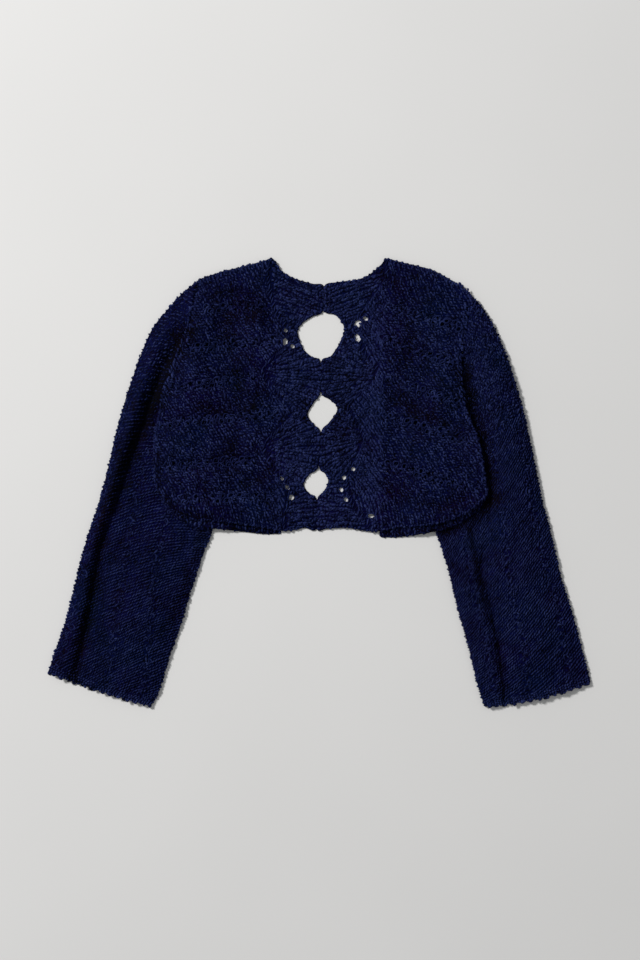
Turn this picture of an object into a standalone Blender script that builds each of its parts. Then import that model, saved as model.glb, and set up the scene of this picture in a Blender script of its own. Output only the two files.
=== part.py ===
# A knitted lace shrug, laid flat on a table with its back up and its sleeves beside it.
#
# Two halves are knitted sideways from a scalloped edge at the centre back to the cuffs. They are
# joined at four places down the centre, and the scallops between the joins leave three keyholes.
# The fronts lie under the back, open at the centre. The body's sides lie on the sleeves.
#
# Tables are in millimetres, with x to the wearer's right hand side as seen from above and y
# towards the neck, from the middle of the flat garment. The cloth rests on z = 0.

import math
from collections import namedtuple

import bpy
import bmesh
from mathutils import Vector
from mathutils.geometry import delaunay_2d_cdt

MM = 0.001

# Thickness of the knitted cloth, and the gap between two layers or along a seam
WALL = 2.0
GAP = 0.3

# A sleeve under the body is pressed flat: two walls and the air between them
PRESSED = 5.0
SLEEVE_EDGE = 2.5
LIFT = PRESSED + 0.4

# The lace: raised bands between sunken columns of eyelets
BAND_RISE = 0.7
FAN_RISE = 0.5
EYELET_PITCH = 5.5
EYELET_LENGTH = 6.4
EYELET_WIDTH = 4.6
EYELET_SLANT = math.radians(35.0)
COLUMN_WAVE = 3.2

# The distance between points along an outline, and within a panel
EDGE_STEP = 13.0
FIELD_STEP = 15.0
HIDDEN_STEP = 24.0

# How far the points within a panel stay from its outline and from an eyelet's middle
FIELD_MARGIN = 5.0
HOLE_MARGIN = 7.0

# How far an eyelet's middle stays from the panel's outline and from a large eyelet's
EYELET_MARGIN = 6.0
LARGE_MARGIN = 9.5
EYELET_CORNERS = 4
LARGE_CORNERS = 6

# The fronts lie below, with their eyelets between those of the back
FRONT_PITCH = 27.5
FRONT_SHIFT = 18.0

# The relief's rims: beside the line of the fans, and beside a column of eyelets
FAN_RIM = 7.0
BAND_RIM = 16.0

# The back comes down from the front's edge, a little way past it, to the table
COVER_REACH = 2.0
COVER_SLOPE = 22.0

# The seam between the body and a sleeve, from the shoulder to the top of the side
SEAM_POINTS = 6
SEAM_SHIFT = 0.5

# A sleeve's folded edges, and where the points lie across its roll and its crown
SLEEVE_RIM = 4.0
SLEEVE_INSET = 3.0
ROLL_SHARES = (0.3, 0.55, 0.8, 1.0)
CROWN_SHARES = (0.1, 0.22, 0.36, 0.5, 0.65, 0.8)

# The scallops of the cast-off edge at the cuff, on each layer
SCALLOPS = 11
SCALLOP_DEPTH = 3.2

# Two points of a plan nearer than this are one
CUT_TOLERANCE = 1e-4

DARK_NAVY = (0.0065, 0.0085, 0.030, 1.0)
CLOTH_ROUGHNESS = 0.92


def table(columns, *rows):
    """Give the numbers of each row the names of its columns."""
    row_type = namedtuple("Row", columns)
    return [row_type(*row) for row in rows]


# One section of a sleeve for each row, from the armhole to the cuff. The crease is a share of
# the way from the outer to the inner edge, bow_x and bow_y bend the section's middle, and the
# heights are of the roll outside the crease, of the crease itself and of the cloth inside it.
SLEEVE_COLUMNS = "outer_x outer_y inner_x inner_y bow_x bow_y crease roll dip crown"

SLEEVE_LEFT = table(
    SLEEVE_COLUMNS,
    (-156.5, 264.4, -147.4, 61.6, -17, 0, 0.29, 5.2, 5.0, 5.0),
    (-177.3, 248.8, -143.5, 48.6, -13, 0, 0.29, 7.0, 5.0, 5.0),
    (-199.4, 224.1, -140.9, 34.3, -10, 0, 0.28, 8.6, 5.0, 5.0),
    (-216.3, 203.3, -138.9, 20.0, -6, 0, 0.26, 9.6, 5.0, 5.0),
    (-228.6, 177.3, -137.0, 4.4, -4, 0, 0.24, 9.8, 5.0, 5.0),
    (-241.0, 143.5, -135.7, -12.5, -2, 0, 0.22, 9.6, 5.0, 5.0),
    (-252.7, 108.4, -135.7, -32.0, 0, 0, 0.20, 9.2, 5.0, 5.0),
    (-265.0, 64.2, -139.6, -64.5, 0, 0, 0.18, 8.6, 5.0, 5.0),
    (-274.8, 21.3, -148.7, -86.6, 0, 0, 0.16, 8.2, 5.0, 5.0),
    (-286.5, -22.9, -157.8, -113.9, 0, 0, 0.15, 8.0, 5.0, 5.8),
    (-299.5, -61.9, -166.9, -141.2, 0, 0, 0.14, 7.6, 5.0, 6.6),
    (-310.5, -99.6, -176.0, -173.7, 0, 0, 0.15, 7.4, 5.0, 7.0),
    (-320.3, -141.2, -187.0, -204.9, 0, 0, 0.18, 7.4, 5.0, 7.2),
    (-330.7, -180.2, -198.1, -238.7, 0, 0, 0.20, 7.2, 5.0, 7.0),
    (-342.4, -214.0, -207.2, -268.6, 0, 0, 0.22, 6.8, 5.0, 6.6),
    (-353.1, -245.2, -218.5, -289.3, 0, -2, 0.26, 6.2, 5.0, 6.0),
)

SLEEVE_RIGHT = table(
    SLEEVE_COLUMNS,
    (195.8, 246.2, 142.5, 47.3, 10, 0, 0.42, 5.2, 5.0, 5.0),
    (210.1, 231.9, 140.6, 35.6, 9, 0, 0.42, 6.6, 5.0, 5.0),
    (223.1, 211.1, 139.3, 22.6, 7, 0, 0.42, 7.6, 5.0, 5.0),
    (234.8, 187.7, 139.3, 9.6, 5, 0, 0.41, 8.4, 5.0, 5.0),
    (246.5, 157.8, 139.9, -4.7, 3, 0, 0.40, 8.8, 5.0, 5.0),
    (256.9, 124.0, 141.9, -20.3, 1, 0, 0.39, 8.8, 5.0, 5.0),
    (266.7, 90.2, 145.1, -39.8, 0, 0, 0.39, 8.6, 5.0, 5.0),
    (274.5, 53.8, 151.6, -64.5, 0, 0, 0.42, 8.4, 5.0, 5.0),
    (282.3, 17.4, 159.4, -87.9, 0, 0, 0.49, 8.2, 5.0, 5.0),
    (289.4, -20.3, 166.6, -111.3, 0, 0, 0.62, 8.0, 5.0, 5.8),
    (298.5, -52.8, 173.1, -138.6, 0, 0, 0.72, 7.8, 5.0, 6.8),
    (307.6, -91.8, 180.2, -167.2, 0, 0, 0.71, 7.6, 5.0, 6.8),
    (316.7, -129.5, 188.7, -197.1, 0, 0, 0.72, 7.4, 5.0, 6.8),
    (328.4, -165.9, 196.5, -227.0, 0, 0, 0.74, 7.2, 5.0, 6.6),
    (342.7, -219.2, 204.9, -262.1, 0, -3, 0.77, 6.8, 5.0, 6.4),
    (353.1, -258.2, 213.5, -289.3, 0, -6, 0.82, 6.2, 5.0, 6.0),
)

# Where the body lies on the sleeve it is lifted. Each row is a line across the body: inward of
# brow_x the cloth comes down again, over the width of the slope.
LIFT_COLUMNS = "y brow_x height"
SLOPE_STEPS = ((0.0, 1.0), (0.25, 0.86), (0.5, 0.5), (0.75, 0.14), (1.0, 0.0))
SLOPE_WIDTH = 34.0
LIFT_REACH = 110.0

LIFT_LEFT = table(
    LIFT_COLUMNS,
    (320.0, -150.0, 0.0),
    (277.0, -150.0, 0.0),
    (240.0, -156.0, 0.5),
    (211.0, -162.0, 1.0),
    (163.0, -162.0, 1.0),
    (112.0, -156.0, 1.0),
    (61.0, -141.0, 1.0),
    (17.0, -131.0, 1.0),
    (-30.0, -129.0, 1.0),
    (-100.0, -129.0, 1.0),
)

LIFT_RIGHT = table(
    LIFT_COLUMNS,
    (320.0, 190.0, 0.0),
    (262.0, 190.0, 0.0),
    (215.0, 184.0, 0.5),
    (166.0, 178.0, 1.0),
    (130.0, 167.0, 1.0),
    (90.0, 150.0, 1.0),
    (47.0, 135.0, 1.0),
    (10.0, 132.0, 1.0),
    (-30.0, 135.0, 1.0),
    (-100.0, 143.0, 1.0),
)

# The stretches of each panel's outline. A stretch is a smooth curve through its points.
NECK_NOTCH = (6.0, 256.0)
NECK_LEFT = (NECK_NOTCH, (-7.6, 259.2), (-31.7, 266.0), (-49.9, 276.6), (-60.6, 291.7))
NECK_RIGHT = (NECK_NOTCH, (22.3, 261.3), (41.1, 263.4), (61.9, 269.2), (80.7, 284.6), (87.3, 291.7))
SHOULDER_LEFT = ((-60.6, 291.7), (-82.4, 285.9), (-108.4, 279.2), (-129.7, 273.9), (-156.5, 264.4))
SHOULDER_RIGHT = ((87.3, 291.7), (116.5, 284.6), (147.0, 276.6), (173.7, 262.1), (195.8, 246.2))
SIDE_LEFT = ((-168.2, 204.6), (-177.3, 179.9), (-191.6, 140.9), (-204.6, 101.9), (-212.4, 69.4),
             (-215.0, 36.9), (-213.7, 4.4))
SIDE_RIGHT = ((182.8, 157.8), (184.6, 124.0), (189.5, 98.0), (197.1, 78.5), (207.5, 51.2),
              (212.7, 22.6), (217.9, -13.8))
HEM_LEFT = ((-213.7, 4.4), (-204.6, -20.3), (-187.7, -37.2), (-168.2, -46.3), (-146.1, -48.9),
            (-122.7, -50.2), (-90.2, -54.7), (-44.7, -61.9), (-18.7, -57.7), (-3.7, -59.3))
HEM_RIGHT = ((217.9, -13.8), (201.0, -30.7), (182.8, -42.4), (155.5, -51.5), (124.3, -56.0),
             (99.6, -57.3), (78.8, -61.9), (59.3, -61.9), (35.6, -57.7), (8.0, -59.3), (-3.7, -59.3))
FRONT_HEM_LEFT = ((-213.7, 4.4), (-207.2, -14.2), (-191.6, -37.9), (-172.1, -54.1), (-150.0, -60.6),
                  (-137.0, -58.8), (-98.0, -62.9), (-71.3, -65.8), (-51.2, -64.5))
FRONT_HEM_RIGHT = ((217.9, -13.8), (209.0, -30.5), (193.2, -44.4), (173.7, -55.4), (149.0, -62.5),
                   (123.0, -67.1), (99.3, -70.1), (78.8, -69.0))
FRONT_EDGE_LEFT = ((-51.2, -64.5), (-51.2, 17.4), (-49.9, 108.4), (-51.2, 186.4), (-52.5, 238.4),
                   (-56.4, 270.9), (-60.6, 291.7))
FRONT_EDGE_RIGHT = ((78.8, -69.0), (77.5, 17.4), (78.8, 108.4), (80.1, 199.4), (84.0, 264.4),
                    (87.3, 291.7))

# The centre back, from the neck down. Each join is a straight seam, and each keyhole lies
# between two joins, with the points of its left and its right rim.
JOIN_COLUMNS = "top_x top_y bottom_x bottom_y"
JOINS = table(
    JOIN_COLUMNS,
    (6.0, 256.0, 5.4, 224.6),
    (1.9, 157.8, 1.8, 118.8),
    (1.8, 65.7, -0.6, 22.1),
    (-3.1, -21.6, -3.7, -59.3),
)
KEYHOLES_LEFT = (
    ((-8.3, 216.7), (-19.9, 209.6), (-28.0, 199.4), (-25.9, 187.7), (-20.9, 174.7), (-9.6, 164.7)),
    ((-7.0, 104.8), (-14.9, 89.8), (-7.6, 77.0)),
    ((-12.5, 11.6), (-20.0, -1.2), (-14.0, -12.3)),
)
KEYHOLES_RIGHT = (
    ((20.3, 218.9), (30.1, 207.5), (31.8, 197.1), (25.4, 181.2), (13.8, 164.7)),
    ((12.0, 109.7), (21.3, 101.9), (22.2, 92.8), (12.0, 78.7)),
    ((11.1, 6.2), (9.9, -3.0)),
)

# The line where the fans at the joins meet the lace: it comes close to each keyhole
FAN_LINE_LEFT = ((-66.8, 270.0), (-56.4, 222.8), (-36.0, 188.0), (-72.0, 151.0), (-66.8, 131.8),
                 (-34.0, 92.8), (-69.4, 53.8), (-66.8, 33.0), (-40.0, -3.0), (-45.4, -44.0))
FAN_LINE_RIGHT = ((84.6, 263.9), (57.0, 224.0), (40.0, 198.0), (74.9, 148.0), (68.4, 129.2),
                  (37.0, 98.0), (58.0, 59.0), (36.0, 6.0), (45.0, -31.0), (62.0, -48.0))

# The columns of eyelets on each half: height at the fan line and at the body's side
COLUMN_COLUMNS = "start_x start_y end_x end_y"
COLUMNS_LEFT = table(
    COLUMN_COLUMNS,
    (-75.0, 231.0, -150.0, 226.0),
    (-53.0, 185.0, -172.0, 174.0),
    (-85.0, 139.0, -190.0, 121.0),
    (-50.0, 90.0, -204.0, 77.0),
    (-84.0, 30.0, -206.0, 21.0),
    (-54.0, -17.0, -196.0, -21.0),
)
COLUMNS_RIGHT = table(
    COLUMN_COLUMNS,
    (75.0, 234.5, 190.0, 200.0),
    (66.0, 193.0, 178.0, 153.0),
    (88.0, 136.0, 184.0, 101.0),
    (56.0, 95.0, 196.0, 54.0),
    (73.0, 30.0, 206.0, -10.0),
)

# The widest eyelets, next to the keyholes: place, length, width and slant in degrees
LARGE_COLUMNS = "x y length width slant"
LARGE_LEFT = table(
    LARGE_COLUMNS,
    (-44.4, 183.7, 9.0, 5.6, 80),
    (-43.6, 198.6, 4.6, 4.2, 0),
    (-34.9, 178.0, 5.0, 4.2, 140),
    (-48.4, 6.6, 5.0, 4.2, 120),
    (-41.4, -5.0, 6.4, 4.2, 125),
    (-36.6, -18.2, 6.6, 6.0, 0),
)
LARGE_RIGHT = table(
    LARGE_COLUMNS,
    (50.3, 207.3, 9.6, 8.2, 20),
    (49.9, 189.2, 10.2, 7.0, 95),
    (60.0, 213.8, 6.4, 4.2, 145),
    (43.6, 18.6, 6.0, 4.2, 150),
    (32.0, 7.4, 5.4, 4.4, 35),
    (28.6, -8.3, 5.0, 4.2, 110),
    (34.6, -21.0, 5.4, 4.2, 125),
    (66.8, -42.1, 8.6, 4.2, 0),
)


def smooth(points, step=EDGE_STEP):
    """Points along a Catmull-Rom curve through the given points, about a step apart."""
    points = [Vector(point) for point in points]
    ends = [2 * points[0] - points[1]] + points + [2 * points[-1] - points[-2]]
    curve = []
    for a, b, c, d in zip(ends, ends[1:], ends[2:], ends[3:]):
        count = max(1, round((c - b).length / step))
        for index in range(count):
            t = index / count
            curve.append(0.5 * (2 * b + (c - a) * t + (2 * a - 5 * b + 4 * c - d) * t * t
                                + (3 * b - a - 3 * c + d) * t ** 3))
    return curve + [points[-1]]


def straight(start, end, step):
    """Points on a straight line, about a step apart."""
    start, end = Vector(start), Vector(end)
    count = max(1, round((end - start).length / step))
    return [start.lerp(end, index / count) for index in range(count + 1)]


def inside(point, outline):
    """Whether a point lies inside a closed outline, by counting crossings."""
    odd = False
    for a, b in zip(outline, outline[1:] + outline[:1]):
        if (a.y > point.y) != (b.y > point.y):
            if point.x < a.x + (point.y - a.y) / (b.y - a.y) * (b.x - a.x):
                odd = not odd
    return odd


def distance_to(point, line, closed=False):
    """The distance from a point to a line of points."""
    ends = line[1:] + line[:1] if closed else line[1:]
    nearest = math.inf
    for a, b in zip(line, ends):
        along = b - a
        share = max(0.0, min(1.0, (point - a).dot(along) / max(along.length_squared, 1e-9)))
        nearest = min(nearest, (a + along * share - point).length)
    return nearest


def knit_material(name, colour):
    """A matt woollen yarn of one colour."""
    material = bpy.data.materials.new(name)
    material.use_nodes = True
    shader = material.node_tree.nodes["Principled BSDF"]
    shader.inputs["Base Color"].default_value = colour
    shader.inputs["Roughness"].default_value = CLOTH_ROUGHNESS
    shader.inputs["Metallic"].default_value = 0.0
    return material


def make_object(name, vertices, faces):
    """A closed mesh object from points in millimetres, knitted in the dark yarn."""
    mesh = bpy.data.meshes.new(name)
    mesh.from_pydata([Vector(v) * MM for v in vertices], [], faces)
    shape = bmesh.new()
    shape.from_mesh(mesh)
    bmesh.ops.recalc_face_normals(shape, faces=shape.faces)
    shape.to_mesh(mesh)
    shape.free()
    mesh.materials.append(knit_material(name + "_lace", DARK_NAVY))
    piece = bpy.data.objects.new(name, mesh)
    bpy.context.scene.collection.objects.link(piece)
    return piece


def section_point(row, share):
    """A point of a sleeve's section, in plan."""
    place = Vector((row.outer_x, row.outer_y)).lerp(Vector((row.inner_x, row.inner_y)), share)
    return place + Vector((row.bow_x, row.bow_y)) * 4 * share * (1 - share)


def section_shares(row, width, last):
    """Where the points of a section lie across it: closer at the crease, even at the cuff."""
    rim = SLEEVE_RIM / width
    if last:
        even = [rim + (1 - 2 * rim) * index / SCALLOPS for index in range(SCALLOPS + 1)]
        return [0.0] + even + [1.0]
    roll = [row.crease * share for share in ROLL_SHARES]
    crown = [row.crease + (1 - rim - row.crease) * share for share in CROWN_SHARES]
    return [0.0, rim] + roll + crown + [1 - rim, 1.0]


def section_height(row, share):
    """The height of a sleeve's upper face over the table."""
    if share <= row.crease:
        rise = max(0.0, math.sin(math.pi * share / row.crease)) ** 0.8
        return row.dip + (row.roll - row.dip) * rise
    rise = max(0.0, math.sin(math.pi * (share - row.crease) / (1 - row.crease))) ** 0.7
    return row.dip + (row.crown - row.dip) * rise


def sleeve_rings(row, last):
    """The outer and the inner loop of a sleeve's section: over the top, then back below."""
    width = math.hypot(row.outer_x - row.inner_x, row.outer_y - row.inner_y)
    shares = section_shares(row, width, last)
    rim, inset = SLEEVE_RIM / width, SLEEVE_INSET / width
    outer, inner = [], []
    for index, share in enumerate(shares):
        plan = section_point(row, share)
        if share in (0.0, 1.0):
            height = SLEEVE_EDGE
            hollow = section_point(row, inset if share == 0.0 else 1 - inset)
            inner.append((hollow.x, hollow.y, SLEEVE_EDGE))
        else:
            at_rim = index in (1, len(shares) - 2)
            height = PRESSED - 0.3 if at_rim else section_height(row, share)
            centre_share = rim * 1.3 if index == 1 else 1 - rim * 1.3 if at_rim else share
            hollow = section_point(row, centre_share)
            inner.append((hollow.x, hollow.y, height - WALL))
        outer.append((plan.x, plan.y, height))
    for index in range(len(shares) - 2, 0, -1):
        share = shares[index]
        at_rim = index in (1, len(shares) - 2)
        plan = section_point(row, share)
        centre_share = rim * 1.5 if index == 1 else 1 - rim * 1.5 if at_rim else share
        hollow = section_point(row, centre_share)
        outer.append((plan.x, plan.y, 0.0))
        inner.append((hollow.x, hollow.y, WALL))
    return outer, inner


def scalloped(loop, towards):
    """A cuff's loop with a further point between each two, moved out to make the scallops."""
    full = []
    rims = {0, len(loop) // 2 - 1, len(loop) // 2, len(loop) - 1}
    for index, point in enumerate(loop):
        following = loop[(index + 1) % len(loop)]
        middle = (Vector(point) + Vector(following)) / 2
        if index not in rims:
            middle += towards * SCALLOP_DEPTH
        full += [Vector(point), middle]
    return full


def sleeve(name, rows):
    """A sleeve: a flattened tube of knitting, open at the armhole and at the cuff."""
    vertices, faces = [], []
    rings = [sleeve_rings(row, row is rows[-1]) for row in rows]
    last_step = section_point(rows[-1], 0.5) - section_point(rows[-2], 0.5)
    towards = Vector((last_step.x, last_step.y, 0.0)).normalized()
    size = len(rings[0][0])
    for outer, inner in rings[:-1]:
        vertices += outer + inner
    for loop in rings[-1]:
        vertices += scalloped(loop, towards)

    def wall(first, second, count):
        for index in range(count):
            step = (index + 1) % count
            faces.append((first + index, first + step, second + step))
            faces.append((first + index, second + step, second + index))

    def scallop_wall(first, second):
        for index in range(size):
            step = (index + 1) % size
            faces.append((first + index, second + 2 * index + 1, second + 2 * index))
            faces.append((first + index, first + step, second + 2 * index + 1))
            faces.append((first + step, second + 2 * step, second + 2 * index + 1))

    for index in range(len(rings) - 2):
        wall(2 * size * index, 2 * size * (index + 1), size)
        wall(2 * size * index + size, 2 * size * (index + 1) + size, size)
    near = 2 * size * (len(rings) - 2)
    cuff = near + 2 * size
    scallop_wall(near, cuff)
    scallop_wall(near + size, cuff + 2 * size)
    wall(0, size, size)
    wall(cuff, cuff + 2 * size, 2 * size)
    return make_object(name, vertices, faces)


class Lift:
    """How far the body is lifted by the sleeve below it: flat facets between named rows."""

    def __init__(self, rows, towards_centre):
        self.grid = []
        for row in rows:
            line = [Vector((row.brow_x - towards_centre * LIFT_REACH, row.y, row.height * LIFT))]
            for share, part in SLOPE_STEPS:
                x = row.brow_x + towards_centre * share * SLOPE_WIDTH
                line.append(Vector((x, row.y, row.height * part * LIFT)))
            self.grid.append(line)

    def facets(self):
        """The triangles of the lifted shape."""
        for upper, lower in zip(self.grid, self.grid[1:]):
            for index in range(len(upper) - 1):
                a, b, c, d = upper[index], upper[index + 1], lower[index + 1], lower[index]
                yield a, b, c
                yield a, c, d

    def lines(self):
        """The lines along which the lifted shape bends, which the panels over it share."""
        plan = [[point.to_2d() for point in line] for line in self.grid]
        lines = []
        for index, line in enumerate(self.grid):
            flat = index and index < len(self.grid) - 1 and self.grid[index - 1][0].z == line[0].z
            level = flat and self.grid[index + 1][0].z == line[0].z
            lines.append(plan[index][1:] if level else plan[index])
        for step in range(1, len(plan[0])):
            lines.append([line[step] for line in plan])
        for upper, lower in zip(plan, plan[1:]):
            for step in range(1, len(upper) - 1):
                lines.append([upper[step], lower[step + 1]])
        return lines

    def height(self, place):
        """The height of the lift at a place, 0 where nothing lies under the body."""
        for a, b, c in self.facets():
            area = (b - a).to_2d().cross((c - a).to_2d())
            u = (b.to_2d() - place).cross(c.to_2d() - place) / area
            v = (c.to_2d() - place).cross(a.to_2d() - place) / area
            w = 1 - u - v
            if min(u, v, w) >= -1e-6:
                return a.z * u + b.z * v + c.z * w
        return 0.0


def eyelet(centre, length, width, slant, corners):
    """The outline of an eyelet."""
    along = Vector((math.cos(slant), math.sin(slant)))
    across = Vector((-along.y, along.x))
    outline = []
    for index in range(corners):
        turn = math.tau * index / corners
        outline.append(centre + along * (math.cos(turn) * length / 2)
                       + across * (math.sin(turn) * width / 2))
    return outline


def column_eyelets(columns, pitch, shift, outlines, large):
    """Eyelets in a zigzag along each column, clear of each outline and of the widest eyelets."""
    eyelets = []
    for row in columns:
        start, end = Vector((row.start_x, row.start_y + shift)), Vector((row.end_x, row.end_y + shift))
        count = int((end - start).length / pitch)
        across = Vector((0.0, COLUMN_WAVE))
        for index in range(count + 1):
            centre = start + (end - start).normalized() * pitch * index
            centre += across if index % 2 else -across
            if any(not inside(centre, outline) or distance_to(centre, outline, True) < EYELET_MARGIN
                   for outline in outlines):
                continue
            if any(math.hypot(big.x - centre.x, big.y - centre.y) < LARGE_MARGIN for big in large):
                continue
            eyelets.append(eyelet(centre, EYELET_LENGTH, EYELET_WIDTH, EYELET_SLANT, EYELET_CORNERS))
    return eyelets


def large_eyelets(rows):
    """The named wide eyelets beside the keyholes."""
    return [eyelet(Vector((row.x, row.y)), row.length, row.width, math.radians(row.slant),
                   LARGE_CORNERS) for row in rows]


def field_points(outline, holes, step):
    """Points in staggered rows over a panel, clear of its outline and its eyelets."""
    centres = [sum(hole, Vector((0.0, 0.0))) / len(hole) for hole in holes]
    low_x, high_x = min(p.x for p in outline), max(p.x for p in outline)
    low_y, high_y = min(p.y for p in outline), max(p.y for p in outline)
    points = []
    for row in range(int((high_y - low_y) / step) + 1):
        offset = step / 2 if row % 2 else 0.0
        for column in range(int((high_x - low_x) / step) + 1):
            place = Vector((low_x + offset + column * step, low_y + row * step))
            if not inside(place, outline) or distance_to(place, outline, True) < FIELD_MARGIN:
                continue
            if all((place - centre).length > HOLE_MARGIN for centre in centres):
                points.append(place)
    return points


def panel(name, outline, holes, lines, points, bottom, thickness):
    """A panel of knitting: a plan cut into triangles, raised to its lower and its upper face."""
    places, edges = [], []

    def add_loop(loop):
        first = len(places)
        places.extend(loop)
        edges.extend((first + index, first + (index + 1) % len(loop)) for index in range(len(loop)))

    add_loop(outline)
    for hole in holes:
        add_loop(hole)
    for line in lines:
        first = len(places)
        places.extend(line)
        edges.extend((first + index, first + index + 1) for index in range(len(line) - 1))
    places.extend(points)
    result = delaunay_2d_cdt(places, edges, [], 0, CUT_TOLERANCE)
    plan, triangles = result[0], result[2]

    kept = []
    for triangle in triangles:
        middle = sum((plan[index] for index in triangle), Vector((0.0, 0.0))) / 3
        if inside(middle, outline) and not any(inside(middle, hole) for hole in holes):
            kept.append(tuple(triangle))
    used = sorted({index for triangle in kept for index in triangle})
    number = {index: place for place, index in enumerate(used)}
    kept = [tuple(number[index] for index in triangle) for triangle in kept]
    low = [Vector((plan[i].x, plan[i].y, bottom(plan[i]))) for i in used]
    high = [point + Vector((0.0, 0.0, thickness(point.to_2d()))) for point in low]

    count = len(used)
    sides = {edge for a, b, c in kept for edge in ((a, b), (b, c), (c, a))}
    faces = [(a + count, b + count, c + count) for a, b, c in kept]
    faces += [(a, c, b) for a, b, c in kept]
    for a, b in sorted(sides):
        if (b, a) not in sides:
            faces.append((a, b, b + count))
            faces.append((a, b + count, a + count))
    return make_object(name, low + high, faces)


def rise_over(distance, width):
    """A smooth rise from 0 to 1 over a width."""
    share = max(0.0, min(1.0, distance / width))
    return share * share * (3 - 2 * share)


def lace_relief(columns, fan_line, centre_sign):
    """How the lace stands up: bands between the eyelet columns, and the fans at the joins."""
    centre_lines = [(Vector((row.start_x, row.start_y)), Vector((row.end_x, row.end_y)))
                    for row in columns]

    def relief(place):
        to_fan = distance_to(place, fan_line)
        nearest_x = fan_x(place.y, fan_line)
        if (place.x - nearest_x) * centre_sign > 0:
            return FAN_RISE * rise_over(to_fan, FAN_RIM)
        to_column = min(distance_to(place, list(line)) for line in centre_lines)
        return BAND_RISE * rise_over(to_column, BAND_RIM) * rise_over(to_fan, FAN_RIM)

    return relief


def fan_x(y, line):
    """Where a line that runs down the panel crosses a height."""
    for a, b in zip(line, line[1:]):
        if b.y <= y <= a.y:
            return a.x + (b.x - a.x) * (a.y - y) / max(a.y - b.y, 1e-6)
    return line[0].x if y > line[0].y else line[-1].x


def centre_edge(keyholes, sign):
    """The edge down the centre back: seams at the joins and the rims of the keyholes."""
    edge = []
    shift = Vector((sign * GAP / 2, 0.0))
    for index, join in enumerate(JOINS):
        top, bottom = (join.top_x, join.top_y), (join.bottom_x, join.bottom_y)
        edge += straight(top, bottom, EDGE_STEP)[:-1]
        if index < len(keyholes):
            following = (JOINS[index + 1].top_x, JOINS[index + 1].top_y)
            edge += smooth((bottom, *keyholes[index], following))[:-1]
        else:
            edge.append(Vector(bottom))
    return [point + shift for point in edge]


def body_half(side, sign, tables):
    """The back and the front of one half; sign is the way to the centre along x."""
    armhole, seam_share = tables["sleeve"][0], tables["seam_share"]
    seam = [section_point(armhole, seam_share * index / SEAM_POINTS) for index in range(SEAM_POINTS)]
    seam = [point + Vector((sign * SEAM_SHIFT, 0.0)) for point in seam]
    shoulder = smooth(tables["shoulder"])[:-1]
    side_edge = smooth(tables["side"])[:-1]
    hem = smooth(tables["hem"])[:-1]
    centre = centre_edge(tables["keyholes"], -sign)[::-1]
    neck = smooth(tables["neck"])[1:-1]
    back_outline = seam + side_edge + hem + centre + neck + shoulder

    front_hem = smooth(tables["front_hem"])[:-1]
    front_edge = smooth(tables["front_edge"])
    front_outline = seam + side_edge + front_hem + front_edge[:-1] + shoulder

    lift = Lift(tables["lift"], sign)
    fan_line = [Vector(point) for point in tables["fan_line"]]
    over_edge = [point + Vector((sign * COVER_REACH, 0.0)) for point in front_edge]
    over_edge = [over_edge[0] + Vector((0.0, -EDGE_STEP))] + over_edge[:-1]
    relief = lace_relief(tables["columns"], fan_line, sign)

    def back_height(place):
        past = (place.x - fan_x(place.y, over_edge[::-1])) * sign
        return lift.height(place) + (WALL + GAP) * (1 - rise_over(past, COVER_SLOPE))

    lines = lift.lines()
    large = tables["large"]
    back_holes = large_eyelets(large)
    outlines = (back_outline, front_outline)
    back_holes += column_eyelets(tables["columns"], EYELET_PITCH, 0.0, outlines, large)
    back_points = field_points(back_outline, back_holes, FIELD_STEP)
    panel("back_" + side, back_outline, back_holes, lines + [fan_line, over_edge], back_points,
          back_height, lambda place: WALL + relief(place))
    front_holes = column_eyelets(tables["columns"], FRONT_PITCH, FRONT_SHIFT, (front_outline,), [])
    front_points = field_points(front_outline, front_holes, HIDDEN_STEP)
    panel("front_" + side, front_outline, front_holes, lines, front_points,
          lift.height, lambda place: WALL)
    print(side, "eyelets in the back", len(back_holes), "and in the front", len(front_holes))


LEFT_TABLES = {
    "sleeve": SLEEVE_LEFT, "seam_share": 0.29, "shoulder": SHOULDER_LEFT, "side": SIDE_LEFT,
    "neck": NECK_LEFT, "keyholes": KEYHOLES_LEFT, "hem": HEM_LEFT, "front_edge": FRONT_EDGE_LEFT,
    "front_hem": FRONT_HEM_LEFT, "lift": LIFT_LEFT, "fan_line": FAN_LINE_LEFT,
    "columns": COLUMNS_LEFT, "large": LARGE_LEFT,
}
RIGHT_TABLES = {
    "sleeve": SLEEVE_RIGHT, "seam_share": 0.44, "shoulder": SHOULDER_RIGHT, "side": SIDE_RIGHT,
    "neck": NECK_RIGHT, "keyholes": KEYHOLES_RIGHT, "hem": HEM_RIGHT, "front_edge": FRONT_EDGE_RIGHT,
    "front_hem": FRONT_HEM_RIGHT, "lift": LIFT_RIGHT, "fan_line": FAN_LINE_RIGHT,
    "columns": COLUMNS_RIGHT, "large": LARGE_RIGHT,
}


def build():
    """Make every piece of the garment."""
    for leftover in list(bpy.data.objects):
        bpy.data.objects.remove(leftover, do_unlink=True)
    sleeve("sleeve_left", SLEEVE_LEFT)
    sleeve("sleeve_right", SLEEVE_RIGHT)
    body_half("left", 1.0, LEFT_TABLES)
    body_half("right", -1.0, RIGHT_TABLES)


build()
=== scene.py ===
# %% [markdown]
# # A hand-knitted lace shrug, laid flat with its back up
#
# The plain solids of the shrug are loaded first. They are the frame: every stitch below is
# placed on them, so nothing has to be fitted afterwards. Lengths in this file are in
# millimetres until a mesh is made, with x across the picture, y towards the neck and z up.

# %% The frame
import math
from collections import namedtuple

import bpy
import bmesh
import numpy as np
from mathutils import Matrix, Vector
from mathutils.bvhtree import BVHTree
from mathutils.geometry import delaunay_2d_cdt


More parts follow.
